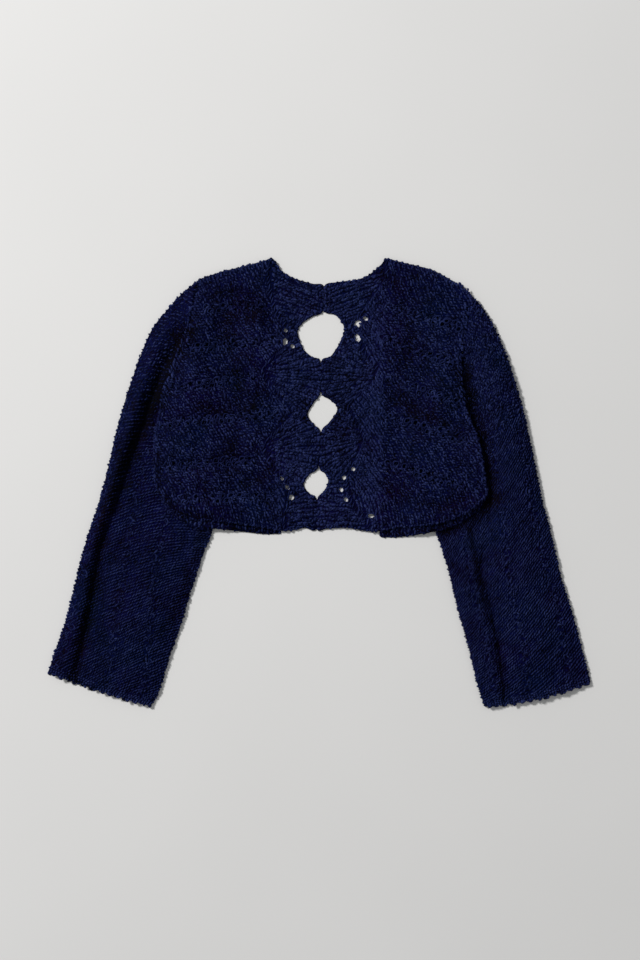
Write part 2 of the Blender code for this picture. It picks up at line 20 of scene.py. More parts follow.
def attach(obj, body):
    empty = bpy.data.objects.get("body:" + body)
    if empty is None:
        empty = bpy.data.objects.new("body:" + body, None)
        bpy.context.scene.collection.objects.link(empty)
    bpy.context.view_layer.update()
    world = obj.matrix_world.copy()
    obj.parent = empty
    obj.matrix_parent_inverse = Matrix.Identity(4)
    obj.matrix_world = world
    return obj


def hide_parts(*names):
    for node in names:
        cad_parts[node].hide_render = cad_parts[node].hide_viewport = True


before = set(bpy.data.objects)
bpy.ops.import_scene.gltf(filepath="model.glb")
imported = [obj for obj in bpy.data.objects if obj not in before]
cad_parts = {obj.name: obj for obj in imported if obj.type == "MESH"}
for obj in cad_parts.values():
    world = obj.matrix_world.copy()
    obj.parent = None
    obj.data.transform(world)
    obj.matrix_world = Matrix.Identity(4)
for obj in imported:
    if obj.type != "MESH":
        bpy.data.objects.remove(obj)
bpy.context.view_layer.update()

MM = 0.001
print("solids", sorted(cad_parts))

# %% [markdown]
# ## The knitting's own sizes
#
# A fine yarn is worked on medium needles, so one row of knitting is 3.4 mm deep and a stitch
# is about 4 mm wide. The lace pulls the plain bands askew: their rows don't stand square to
# the way the garment was knitted, they lean by a little over a third of a right angle. That
# lean is the look of the whole garment, so it is a value with a name.

# %% Sizes of the knitting
ROW = 3.4
STITCH = 4.1
ROW_LEAN = math.radians(34.0)
EYELET_STEP = 5.5
EYELET_CLEAR = 2.7
FAN_ROW = 4.3
EDGE_STITCH = 3.7
SHOULDER = 130.0
CUFF = 9.0


def table(columns, *rows):
    """Give the numbers of each row the names of its columns."""
    row_type = namedtuple("Row", columns)
    return [row_type(*row) for row in rows]


print("rows to 10 cm", round(100 / ROW), "and stitches", round(100 / STITCH))

# %% [markdown]
# ## Curves and plans
#
# Outlines are read from the solids, which hold only a point every centimetre or so. A
# Catmull-Rom curve passes through every one of them, so it keeps the corners in place and
# rounds the stretches between. The other helpers ask whether points lie inside an outline
# and how far they are from a line, for thousands of points at once.

# %% Curves and plans
def smooth(points, step, closed=False):
    """A Catmull-Rom curve through the points, with a point every step or so."""
    points = np.asarray(points, float)
    if closed:
        ends = np.vstack([points[-1:], points, points[:2]])
    else:
        ends = np.vstack([2 * points[:1] - points[1:2], points, 2 * points[-1:] - points[-2:-1]])
    curve = []
    for a, b, c, d in zip(ends, ends[1:], ends[2:], ends[3:]):
        count = max(1, round(float(np.linalg.norm((c - b)[:2])) / step))
        t = np.arange(count)[:, None] / count
        curve.append(0.5 * (2 * b + (c - a) * t + (2 * a - 5 * b + 4 * c - d) * t ** 2
                            + (3 * b - a - 3 * c + d) * t ** 3))
    return np.vstack(curve if closed else curve + [points[-1:]])


def inside(places, outline):
    """Whether each place lies inside a closed outline."""
    a, b = outline, np.roll(outline, -1, axis=0)
    x, y = places[:, :1], places[:, 1:2]
    crosses = (a[:, 1] > y) != (b[:, 1] > y)
    rise = np.where(b[:, 1] == a[:, 1], 1e-9, b[:, 1] - a[:, 1])
    return (crosses & (x < a[:, 0] + (y - a[:, 1]) / rise * (b[:, 0] - a[:, 0]))).sum(1) % 2 == 1


def distance(places, line, closed=False):
    """How far each place is from a line of points."""
    a = line if closed else line[:-1]
    along = (np.roll(line, -1, axis=0) if closed else line[1:]) - a
    length = np.maximum((along ** 2).sum(1), 1e-9)
    nearest = []
    for few in np.array_split(places, len(places) // 4000 + 1):
        from_a = few[:, None] - a
        share = np.clip((from_a * along).sum(2) / length, 0, 1)
        nearest.append(np.linalg.norm(from_a - share[..., None] * along, axis=2).min(1))
    return np.concatenate(nearest)


def travelled(line):
    """How far along a line each of its points is."""
    return np.concatenate([[0], np.cumsum(np.linalg.norm(np.diff(line, axis=0), axis=1))])


def runs(lines, keep):
    """The stretches of the lines where keep, a test of places, holds."""
    lines = [line for line in lines if len(line) > 1]
    kept = keep(np.vstack(lines))
    found, first = [], 0
    for line in lines:
        flags = np.concatenate([[False], kept[first:first + len(line)], [False]])
        steps = np.flatnonzero(flags[1:] != flags[:-1])
        found += [line[a:b] for a, b in zip(steps[::2], steps[1::2]) if b - a > 1]
        first += len(line)
    return found


# %% [markdown]
# ## Reading a solid
#
# A solid comes as loose triangles, so its copy is merged before anything is asked of it. The
# rim between its upper face and its side walls gives the outline and every eyelet. Rays shot
# down on a grid give the height of the cloth, and a blur takes the facets out of it, because
# cloth has no facets.

# %% Reading a solid
def solid(node):
    """A merged copy of a solid, in millimetres."""
    shape = bmesh.new()
    shape.from_mesh(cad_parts[node].data)
    bmesh.ops.scale(shape, vec=(1 / MM,) * 3, verts=shape.verts)
    bmesh.ops.remove_doubles(shape, verts=shape.verts, dist=0.01)
    shape.normal_update()
    return shape


def rims(shape):
    """The loops where the upper face ends: the outline first, then the eyelets."""
    following = {}
    for edge in shape.edges:
        for loop in edge.link_loops:
            other = loop.link_loop_radial_next.face
            if loop.face.normal.z > 0.4 and other.normal.z < 0.4:
                following[loop.vert] = loop.link_loop_next.vert
    loops = []
    while following:
        loop = [next(iter(following))]
        while loop[-1] in following:
            loop.append(following.pop(loop[-1]))
        if loop[-1] is loop[0] and len(loop) > 4:
            loops.append(np.array([vert.co.to_2d() for vert in loop[:-1]]))
    return sorted(loops, key=len, reverse=True)


class Field:
    """Values on a square grid, read between its points."""

    def __init__(self, low, step, grid):
        self.low, self.step, self.grid = low, step, grid

    def at(self, places):
        """The value at each place."""
        cell = np.clip((places - self.low) / self.step, 0, np.array(self.grid.shape) - 1.001)
        whole = cell.astype(int)
        part, (i, j) = cell - whole, whole.T
        u, v = part.T
        return (self.grid[i, j] * (1 - u) * (1 - v) + self.grid[i + 1, j] * u * (1 - v)
                + self.grid[i, j + 1] * (1 - u) * v + self.grid[i + 1, j + 1] * u * v)


class Heights(Field):
    """A face of a solid as a smooth height over the table."""

    STEP = 4.0
    MARGIN = 6
    BLUR = 6.0

    def __init__(self, shape, side):
        tree = BVHTree.FromBMesh(shape)
        corners = np.array([vert.co.to_2d() for vert in shape.verts])
        self.low = corners.min(0) - self.MARGIN * self.STEP
        size = np.ceil((corners.max(0) - self.low) / self.STEP).astype(int) + self.MARGIN
        heights, known = np.zeros(size), np.zeros(size)
        start, way = side * 100.0, Vector((0, 0, -side))
        for column in range(size[0]):
            for row in range(size[1]):
                x, y = self.low + self.STEP * np.array((column, row))
                place, normal = tree.ray_cast(Vector((x, y, start)), way)[:2]
                if place is not None and normal.z * side > 0.5:
                    heights[column, row], known[column, row] = place.z, 1.0
        spread = np.arange(-3, 4) * self.STEP
        kernel = np.exp(-(spread / self.BLUR) ** 2 / 2)
        total, weight = self.blur(heights * known, kernel), self.blur(known, kernel)
        full = weight > 0.02
        self.step, self.grid = self.STEP, np.where(full, total / np.maximum(weight, 1e-6), 0.0)
        while not full.all():
            shifts = [(1, 0), (-1, 0), (0, 1), (0, -1)]
            near = sum(np.roll(full, shift, (0, 1)).astype(float) for shift in shifts)
            value = sum(np.roll(self.grid * full, shift, (0, 1)) for shift in shifts)
            new = ~full & (near > 0)
            self.grid = np.where(new, value / np.maximum(near, 1), self.grid)
            full = full | new

    @staticmethod
    def blur(values, kernel):
        """Spread each value over its neighbours both ways."""
        for axis in (0, 1):
            values = np.apply_along_axis(np.convolve, axis, values, kernel, "same")
        return values


# %% [markdown]
# ## The lace of the body
#
# Six columns of eyelets cross the left half and five the right, from the fans at the centre
# to the side. A zigzag line of long, slack stitches parts them from the fans, and it comes
# close to each keyhole. These few lines are all that the pattern of the body needs.

# %% The lace of the body
COLUMN_COLUMNS = "start_x start_y end_x end_y"
COLUMNS = {
    "left": table(
        COLUMN_COLUMNS,
        (-75.0, 231.0, -150.0, 226.0),
        (-53.0, 185.0, -172.0, 174.0),
        (-85.0, 139.0, -190.0, 121.0),
        (-50.0, 90.0, -204.0, 77.0),
        (-84.0, 30.0, -206.0, 21.0),
        (-54.0, -17.0, -196.0, -21.0),
    ),
    "right": table(
        COLUMN_COLUMNS,
        (75.0, 234.5, 190.0, 200.0),
        (66.0, 193.0, 178.0, 153.0),
        (88.0, 136.0, 184.0, 101.0),
        (56.0, 95.0, 196.0, 54.0),
        (73.0, 30.0, 206.0, -10.0),
    ),
}
COLUMN_SINK = 0.9

# %% [markdown]
# ## Folds that were pressed in by hand
#
# Where a hand has smoothed the garment out, soft troughs and low swells stay behind. Each is
# a short curve with its own width and depth, and the cloth sinks along it in a bell shape. A
# negative depth is a swell. They are uneven on purpose: no two have the same size. In a trough
# the stitches are also thinner and painted darker. The hollows are the valleys beside the
# sleeves and at a keyhole: they only make the stitches smaller and paint shade into the stitches
# and the ground, because the layers that meet there already have the depth.

# %% Folds
FOLD_COLUMNS = "width depth points"
FOLDS = {
    "back_left": table(
        FOLD_COLUMNS,
        (15.0, 1.5, ((-112, 240), (-122, 200), (-110, 150), (-106, 90), (-118, 20), (-112, -8))),
        (11.0, 2.2, ((-75, 118), (-96, 96), (-128, 92), (-150, 98))),
        (11.0, 2.4, ((-84, 226), (-98, 214), (-120, 214))),
        (13.0, -2.6, ((-150, 200), (-158, 166), (-170, 110), (-178, 40))),
        (11.0, -2.0, ((-76, 240), (-86, 180), (-82, 120), (-90, 60))),
        (9.0, 1.6, ((-60, 20), (-84, 4), (-120, -8), (-150, -6))),
        (9.0, -2.2, ((-196, -14), (-166, -36), (-120, -42), (-70, -50), (-20, -48))),
        (9.0, 1.4, ((-140, 236), (-112, 250), (-84, 246))),
        (6.0, 2.6, ((-212, 30), (-206, -12), (-180, -38), (-140, -46))),
    ),
    "back_right": table(
        FOLD_COLUMNS,
        (12.0, 1.3, ((96, 262), (112, 226), (118, 190), (112, 150))),
        (13.0, -2.0, ((150, 250), (152, 200), (158, 150), (162, 110))),
        (10.0, 1.8, ((90, 120), (118, 96), (150, 84), (176, 70))),
        (11.0, -1.8, ((70, 60), (96, 30), (132, 14), (180, 6))),
        (9.0, 1.8, ((86, -4), (120, -22), (160, -26), (190, -18))),
        (13.0, -3.6, ((184, 110), (196, 70), (206, 20), (206, -12))),
        (9.0, -2.0, ((200, -28), (160, -44), (110, -48), (50, -52), (10, -50))),
        (12.0, 1.6, ((64, 150), (40, 132), (16, 132))),
        (14.0, 1.5, ((20, 160), (26, 120), (30, 80), (24, 36))),
    ),
    "front_left": table(
        FOLD_COLUMNS,
        (7.0, 2.0, ((-196, -30), (-172, -50), (-140, -58), (-60, -62))),
    ),
    "front_right": table(
        FOLD_COLUMNS,
        (13.0, -3.0, ((184, 110), (196, 70), (206, 20), (206, -12))),
        (7.0, 2.0, ((200, -36), (170, -52), (120, -62), (84, -66))),
    ),
}
# Painted shade: the hollows don't change the cloth's height; they thin the stitches and darken stitches and
# ground.
HOLLOWS_IN_PAINTED_SHADE = {
    "back_left": table(
        FOLD_COLUMNS,
        (15.0, 4.0, ((-172, 206), (-175, 198), (-183, 181), (-200, 142), (-215, 106))),
        (6.0, 3.4, ((-13, 112), (-21, 96), (-17, 80))),
    ),
    "back_right": table(
        FOLD_COLUMNS,
        (8.0, 3.4, ((182, 150), (187, 128), (186, 112))),
        (14.0, 2.4, ((22, 150), (26, 120), (30, 80), (24, 36))),
    ),
    "front_left": (),
    "front_right": (),
    "sleeve_left": table(
        FOLD_COLUMNS,
        (14.0, 4.0, ((-180, 188), (-190, 164), (-202, 140))),
        (11.5, 4.0, ((-202, 140), (-218, 100), (-242, 50), (-261, 4))),
        (8.0, 3.8, ((-261, 4), (-280, -50), (-290, -110), (-299, -160), (-315, -238), (-322, -258))),
        (10.0, 1.6, ((-150, -60), (-168, -120), (-196, -190))),
    ),
    "sleeve_right": table(
        FOLD_COLUMNS,
        (8.0, 4.5, ((190, 150), (192, 124), (197, 99), (207, 67), (215, 34), (219, 10), (224, -14))),
        (10.0, 4.0, ((226, -16), (208, -38), (182, -54), (160, -64))),
        (5.5, 3.2, ((194, -58), (204, -105), (215, -155), (226, -193), (232, -222), (239, -274))),
        (8.0, 1.8, ((278, 60), (296, -10), (316, -90), (342, -190))),
    ),
}


RUMPLE_COLUMNS = "length angle height phase"
RUMPLES = table(
    RUMPLE_COLUMNS,
    (47.0, 25.0, 0.55, 0.3),
    (34.0, 100.0, 0.50, 1.9),
    (27.0, 160.0, 0.42, 4.1),
    (21.0, 62.0, 0.34, 2.6),
    (16.0, 130.0, 0.26, 5.2),
    (12.5, 5.0, 0.18, 0.9),
)


def rumpled(places):
    """Low uneven waves that lie all over a knitted cloth."""
    height = np.zeros(len(places))
    for wave in RUMPLES:
        way = np.array((math.cos(math.radians(wave.angle)), math.sin(math.radians(wave.angle))))
        cross = places @ np.array((-way[1], way[0]))
        sway = 0.9 * np.sin(cross / wave.length * 2.3 + 3 * wave.phase)
        height += wave.height * np.sin(places @ way * 2 * math.pi / wave.length + wave.phase + sway)
    return height


def folded(places, folds):
    """How far the folds lower the cloth at each place."""
    sunk = np.zeros(len(places))
    for fold in folds:
        line = smooth(fold.points, 12.0)
        sunk += fold.depth * np.exp(-(distance(places, line) / fold.width) ** 2)
    return sunk


# %% [markdown]
# ## A panel of the body
#
# The back and the front of each half lie flat on one another, so a place on a panel is a
# point of the plan, and its skin is the height of the solid's face there, less the folds.
# The same skin gives the stitches their place and the way they face.

# %% A panel of the body
ARMHOLE_LOW, ARMHOLE_HIGH = 100, 262
ARMHOLE_LEFT, ARMHOLE_RIGHT = -150, 178
# How far a hollow thins the stitches; the same share sets the painted shade of stitches and ground.
FULL_HOLLOW = 4.0
THINNING = 0.24


def sewn_side(places):
    """Whether places are where the side of the body runs into the sleeve."""
    x, y = places.T
    return (y > ARMHOLE_LOW) & (y < ARMHOLE_HIGH) & ((x < ARMHOLE_LEFT) | (x > ARMHOLE_RIGHT))


def shaded(places, lines):
    """How much thinner the stitches are in a hollow, from one down to about three quarters. The same share
    paints shade on stitches and ground there.
    """
    hollow = np.zeros(len(places))
    for line in lines:
        gap = distance(places, smooth(line.points, 8.0))
        deep = min(1.0, line.depth / FULL_HOLLOW)
        hollow = np.maximum(hollow, deep * np.exp(-(gap / line.width) ** 2))
    return 1 - THINNING * hollow


class Panel:
    """The back or the front of one half, as a skin over the plan."""

    WALL = 1.8
    LOFT = 2.6
    LOFT_FROM = 58
    LOFT_OVER = 26
    EDGE_REACH = 16.0
    COLUMN_REACH = 7.0

    def __init__(self, node):
        shape = solid(node)
        loops = rims(shape)
        self.node = node
        self.outline = smooth(loops[0], 3.0, closed=True)
        self.eyelets = loops[1:]
        self.faces = {1: Heights(shape, 1), -1: Heights(shape, -1)}
        self.folds = FOLDS[node]
        self.loft = self.LOFT if node.startswith("back") else 0.0
        self.columns = [np.array(((row.start_x, row.start_y), (row.end_x, row.end_y)))
                        for row in COLUMNS[node.split("_")[1]]]
        shape.free()

    def height(self, places, side):
        """The height of the cloth's face at each place. Nothing sinks into the layer below."""
        floor, height = self.faces[-1].at(places), self.faces[1].at(places)
        if self.loft:
            inner = 1 - np.exp(-(distance(places, self.outline, closed=True) / self.EDGE_REACH) ** 2)
            bands = np.clip((np.abs(places[:, 0]) - self.LOFT_FROM) / self.LOFT_OVER, 0, 1)
            height = height + inner * (self.loft * bands ** 2 * (3 - 2 * bands) + rumpled(places))
            for line in self.columns:
                height -= COLUMN_SINK * np.exp(-(distance(places, line) / self.COLUMN_REACH) ** 2)
        room = height - folded(places, self.folds) - floor - self.WALL
        height = floor + self.WALL + (room + np.sqrt(room ** 2 + 0.4)) / 2
        return height if side > 0 else height - self.WALL

    def fullness_and_shade(self, places):
        """The share of their full size that stitches have at each place. It also sets the painted shade of
        stitches and ground.
        """
        return shaded(places, [fold for fold in self.folds if fold.depth > 0] + list(HOLLOWS_IN_PAINTED_SHADE[self.node]))

    def within(self, places, margin):
        """Whether places lie in the panel, at least a margin from its outline."""
        return inside(places, self.outline) & (distance(places, self.outline, closed=True) > margin)

    def skin(self, places, depth=0.0, side=1):
        """Places in space, a depth below a face of the cloth."""
        return np.column_stack([places, self.height(places, side) - depth * side])

    def normal(self, places, side=1):
        """The way the face looks at each place."""
        reach = 2.0
        slope = [(self.height(places + way, side) - self.height(places - way, side)) / (2 * reach)
                 for way in (np.array((reach, 0.0)), np.array((0.0, reach)))]
        normal = side * np.column_stack([-slope[0], -slope[1], np.ones(len(places))])
        return normal / np.linalg.norm(normal, axis=1)[:, None]


panels = {name: Panel(name) for name in ("back_left", "back_right", "front_left", "front_right")}
for name, panel in panels.items():
    print(name, "outline points", len(panel.outline), "eyelets", len(panel.eyelets))

# %% [markdown]
# ## The sleeves
#
# A sleeve is a tube pressed flat. Going round it, the way starts at the middle of the under
# side, passes the outer edge, crosses the top and comes back below. Its sections are the ones
# that the solid was built from: both edges, the bend of the middle, the crease that a roll
# leaves, and the heights of roll, crease and crown, with the roll a little lower at the
# shoulder. Any place on it is a length along the sleeve and a share of the way round, which is
# how a knitter would count it too. Beside the body it rises a little, so that the seam closes.

# %% The sections of the sleeves
SLEEVE_COLUMNS = "outer_x outer_y inner_x inner_y bow_x bow_y crease roll dip crown"
SLEEVE_LEFT = table(
    SLEEVE_COLUMNS,
    (-156.5, 264.4, -147.4, 61.6, -17, 0, 0.29, 5.2, 5.0, 5.0),
    (-177.3, 248.8, -143.5, 48.6, -13, 0, 0.29, 5.7, 5.0, 5.0),
    (-199.4, 224.1, -140.9, 34.3, -10, 0, 0.28, 6.2, 5.0, 5.0),
    (-216.3, 203.3, -138.9, 20.0, -6, 0, 0.26, 6.8, 5.0, 5.0),
    (-228.6, 177.3, -137.0, 4.4, -4, 0, 0.24, 7.3, 5.0, 5.0),
    (-241.0, 143.5, -135.7, -12.5, -2, 0, 0.22, 7.8, 5.0, 5.0),
    (-252.7, 108.4, -135.7, -32.0, 0, 0, 0.20, 8.2, 5.0, 5.0),
    (-265.0, 64.2, -139.6, -64.5, 0, 0, 0.18, 8.6, 5.0, 5.0),
    (-274.8, 21.3, -148.7, -86.6, 0, 0, 0.16, 8.2, 5.0, 5.0),
    (-286.5, -22.9, -157.8, -113.9, 0, 0, 0.15, 8.0, 5.0, 5.8),
    (-299.5, -61.9, -166.9, -141.2, 0, 0, 0.14, 7.6, 5.0, 6.6),
    (-310.5, -99.6, -176.0, -173.7, 0, 0, 0.15, 7.4, 5.0, 7.0),
    (-320.3, -141.2, -187.0, -204.9, 0, 0, 0.18, 7.4, 5.0, 7.2),
    (-330.7, -180.2, -198.1, -238.7, 0, 0, 0.20, 7.2, 5.0, 7.0),
    (-342.4, -214.0, -207.2, -268.6, 0, 0, 0.22, 6.8, 5.0, 6.6),
    (-353.1, -245.2, -218.5, -289.3, 0, -2, 0.26, 6.2, 5.0, 6.0),
)
SLEEVE_RIGHT = table(
    SLEEVE_COLUMNS,
    (195.8, 246.2, 142.5, 47.3, 10, 0, 0.42, 5.2, 5.0, 5.0),
    (210.1, 231.9, 140.6, 35.6, 9, 0, 0.42, 6.6, 5.0, 5.0),
    (223.1, 211.1, 139.3, 22.6, 7, 0, 0.42, 7.6, 5.0, 5.0),
    (234.8, 187.7, 139.3, 9.6, 5, 0, 0.41, 8.4, 5.0, 5.0),
    (246.5, 157.8, 139.9, -4.7, 3, 0, 0.40, 8.8, 5.0, 5.0),
    (256.9, 124.0, 141.9, -20.3, 1, 0, 0.39, 8.8, 5.0, 5.0),
    (266.7, 90.2, 145.1, -39.8, 0, 0, 0.39, 8.6, 5.0, 5.0),
    (274.5, 53.8, 151.6, -64.5, 0, 0, 0.42, 8.4, 5.0, 5.0),
    (282.3, 17.4, 159.4, -87.9, 0, 0, 0.49, 8.2, 5.0, 5.0),
    (289.4, -20.3, 166.6, -111.3, 0, 0, 0.62, 8.0, 5.0, 5.8),
    (298.5, -52.8, 173.1, -138.6, 0, 0, 0.72, 7.8, 5.0, 6.8),
    (307.6, -91.8, 180.2, -167.2, 0, 0, 0.71, 7.6, 5.0, 6.8),
    (316.7, -129.5, 188.7, -197.1, 0, 0, 0.72, 7.4, 5.0, 6.8),
    (328.4, -165.9, 196.5, -227.0, 0, 0, 0.74, 7.2, 5.0, 6.6),
    (342.7, -219.2, 204.9, -262.1, 0, -3, 0.77, 6.8, 5.0, 6.4),
    (353.1, -258.2, 213.5, -289.3, 0, -6, 0.82, 6.2, 5.0, 6.0),
)

# %% [markdown]
# The columns of eyelets run down each sleeve, and because the knitting is twisted a little
# they drift towards the inner edge. Each row below names a section, counted from the
# armhole, and where the columns cross it: as shares of the way round, from the middle of the
# under side.

# %% The columns of the sleeves
SLEEVE_LACE_COLUMNS = "section outer middle inner under_one under_two under_three"
LACE_LEFT = table(
    SLEEVE_LACE_COLUMNS,
    (0, 0.262, 0.335, 0.46, 0.62, 0.80, 0.96),
    (5, 0.264, 0.375, 0.51, 0.66, 0.82, 0.97),
    (8, 0.266, 0.400, 0.55, 0.70, 0.84, 0.98),
    (10, 0.270, 0.435, 0.57, 0.75, 0.86, 1.00),
    (12, 0.277, 0.467, 0.63, 0.785, 0.90, 1.03),
    (13, 0.281, 0.490, 0.655, 0.80, 0.92, 1.04),
    (15, 0.292, 0.535, 0.70, 0.84, 0.97, 1.08),
)
LACE_RIGHT = table(
    SLEEVE_LACE_COLUMNS,
    (0, 0.268, 0.380, 0.52, 0.68, 0.84, 0.99),
    (5, 0.282, 0.420, 0.60, 0.74, 0.87, 1.00),
    (8, 0.300, 0.445, 0.635, 0.77, 0.89, 1.02),
    (10, 0.310, 0.473, 0.645, 0.78, 0.90, 1.03),
    (12, 0.311, 0.497, 0.654, 0.79, 0.91, 1.04),
    (13, 0.310, 0.507, 0.659, 0.80, 0.92, 1.04),
    (15, 0.335, 0.528, 0.690, 0.82, 0.94, 1.07),
)


class Sleeve:
    """A flattened sleeve, as a skin over its length and the way round it."""

    ROUND = 340.0
    RIM = 4.5
    EDGE = 2.5
    ROLL = 3.0
    CROWN = 3.0
    SINK = 0.9
    SINK_WIDTH = 9.0
    RUMPLED = 0.8
    CALM = 20
    LIFT = 3.0
    LIFT_STEP = 2.0
    LIFT_MARGIN = 40
    LIFT_FADE = 45
    LIFT_INSIDE = 5.0
    LIFT_OUTSIDE = 12.0

    def __init__(self, rows, lace, hand, lean, skews, cover, sewn_to):
        self.hand = hand
        self.lift = self.lift_at_seam(cover, sewn_to)
        self.hollows = HOLLOWS_IN_PAINTED_SHADE["sleeve_left" if hand > 0 else "sleeve_right"]
        self.lean = lean
        self.skews = skews
        fine = smooth(np.array(rows), 4.0)
        middle = (fine[:, 0:2] + fine[:, 2:4]) / 2
        self.along = travelled(middle)
        self.length = self.along[-1]
        self.rows = fine
        self.width = np.linalg.norm(fine[:, 0:2] - fine[:, 2:4], axis=1)
        middles = [((row.outer_x + row.inner_x) / 2, (row.outer_y + row.inner_y) / 2) for row in rows]
        nearest = [np.argmin(np.linalg.norm(middle - place, axis=1)) for place in middles]
        marks = self.along[nearest]
        self.columns = [(marks[[row.section for row in lace]], [row[place] * self.ROUND for row in lace])
                        for place in range(1, len(lace[0]))]

    def lift_at_seam(self, cover, sewn_to):
        """How far the sleeve rises beside the body, down to a height where they part."""
        low, high = cover.min(0) - self.LIFT_MARGIN, cover.max(0) + self.LIFT_MARGIN
        xs, ys = (np.arange(low[axis], high[axis], self.LIFT_STEP) for axis in (0, 1))
        plan = np.stack(np.meshgrid(xs, ys, indexing="ij"), -1).reshape(-1, 2)
        gap = distance(plan, cover[sewn_side(cover)])
        share = np.clip((plan[:, 1] - sewn_to) / self.LIFT_FADE, 0, 1)
        reach = np.where(inside(plan, cover), self.LIFT_INSIDE, self.LIFT_OUTSIDE)
        lift = self.LIFT * share * np.exp(-(gap / reach) ** 2)
        return Field(low, self.LIFT_STEP, lift.reshape(len(xs), len(ys)))

    def fullness_and_shade(self, places):
        """The share of their full size that stitches have at each place of the upper side. It also sets the
        painted shade there.
        """
        turn = (places[:, 1] / self.ROUND) % 1.0
        above = (turn > 0.25) & (turn < 0.75)
        return np.where(above, shaded(self.place(places)[:, :2], self.hollows), 1.0)

    def scale(self, along):
        """The real size of a millimetre of the way round."""
        return np.interp(along, self.along, self.width) / (self.ROUND / 2)

    def column(self, number, along):
        """How far round the sleeve a column of eyelets is."""
        return np.interp(along, *self.columns[number])

    def place(self, places):
        """The outer face of the sleeve, in space."""
        along, turn = places[:, 0], (places[:, 1] / self.ROUND) % 1.0
        row = np.column_stack([np.interp(along, self.along, column) for column in self.rows.T])
        above = (turn > 0.25) & (turn < 0.75)
        below = np.where(turn < 0.5, 0.5 - 2 * turn, 2.5 - 2 * turn)
        share = np.clip(np.where(above, 2 * turn - 0.5, below), 0, 1)[:, None]
        plan = row[:, 0:2] * (1 - share) + row[:, 2:4] * share + row[:, 4:6] * 4 * share * (1 - share)
        share = share[:, 0]
        width = np.linalg.norm(row[:, 0:2] - row[:, 2:4], axis=1)
        inner = np.clip(np.minimum(share, 1 - share) * width / self.RIM, 0, 1)
        full = np.sqrt(1 - (1 - inner) ** 2)
        crease, roll, dip, crown = row[:, 6:10].T
        outside = share <= crease
        swell = np.where(outside, share / crease, (share - crease) / (1 - crease))
        sinks = self.SINK * np.exp(-((share - crease) * width / self.SINK_WIDTH) ** 2)
        top = np.where(outside, (roll - dip) * self.ROLL, (crown - dip) * self.CROWN)
        swell = swell ** np.where(outside, *self.skews)
        top = dip - sinks + top * np.maximum(np.sin(math.pi * swell), 0) ** 0.9
        calm = np.clip(np.minimum(share, 1 - share) * width / self.CALM, 0, 1)
        top = top + self.RUMPLED * rumpled(plan) * calm
        top = top + self.lift.at(plan)
        height = np.where(above, self.EDGE + (top - self.EDGE) * full, self.EDGE * (1 - full))
        return np.column_stack([plan, height])

    def normal(self, places, side=1):
        """The way the outer face looks at each place."""
        reach = 1.5
        down, across = np.array((reach, 0.0)), np.array((0.0, reach))
        low = np.clip(places[:, 0], reach, self.length - reach)
        places = np.column_stack([low, places[:, 1]])
        normal = self.hand * np.cross(self.place(places + down) - self.place(places - down),
                                      self.place(places + across) - self.place(places - across))
        return normal / np.maximum(np.linalg.norm(normal, axis=1), 1e-9)[:, None]

    def skin(self, places, depth=0.0, side=1):
        """Places in space, a depth below the outer face."""
        return self.place(places) - self.normal(places) * depth


covers = [panels[name].outline for name in ("back_left", "back_right")]
sleeves = {"sleeve_left": Sleeve(SLEEVE_LEFT, LACE_LEFT, 1, 0.85, (1.4, 1.3), covers[0], 95),
           "sleeve_right": Sleeve(SLEEVE_RIGHT, LACE_RIGHT, -1, -0.42, (0.9, 0.6), covers[1], 145)}
for name, sleeve in sleeves.items():
    print(name, "is", round(sleeve.length), "mm long along its middle")

# %% [markdown]
# ## Fans and joins
#
# The zigzag line, the joins of the centre back and the fans between them are short tables
# too. A fan has a slack end, where its ridges start close together, and a joined end, where
# they spread along a keyhole and a join.

# %% Fans and joins
FAN_LINES = {
    "left": np.array(((-62.0, 294.0), (-66.8, 270.0), (-56.4, 222.8), (-36.0, 188.0), (-72.0, 151.0),
                      (-66.8, 131.8), (-34.0, 92.8), (-69.4, 53.8), (-66.8, 33.0),
                      (-40.0, -3.0), (-45.4, -44.0), (-46.0, -66.0))),
    "right": np.array(((87.0, 294.0), (84.6, 263.9), (57.0, 224.0), (40.0, 198.0), (74.9, 148.0),
                       (68.4, 129.2), (37.0, 98.0), (58.0, 59.0), (36.0, 6.0),
                       (45.0, -31.0), (62.0, -48.0), (65.0, -70.0))),
}
JOIN_COLUMNS = "top_x top_y bottom_x bottom_y"
JOINS = table(
    JOIN_COLUMNS,
    (6.0, 256.0, 5.4, 224.6),
    (1.9, 157.8, 1.8, 118.8),
    (1.8, 65.7, -0.6, 22.1),
    (-3.1, -21.6, -3.7, -59.3),
)
EYELET_SHIFT = 3.2
EYELET_LONG = 6.4
EYELET_WIDE = 4.6
EYELET_SLANT = math.radians(35)
FAN_COLUMNS = "slack_end joined_end"
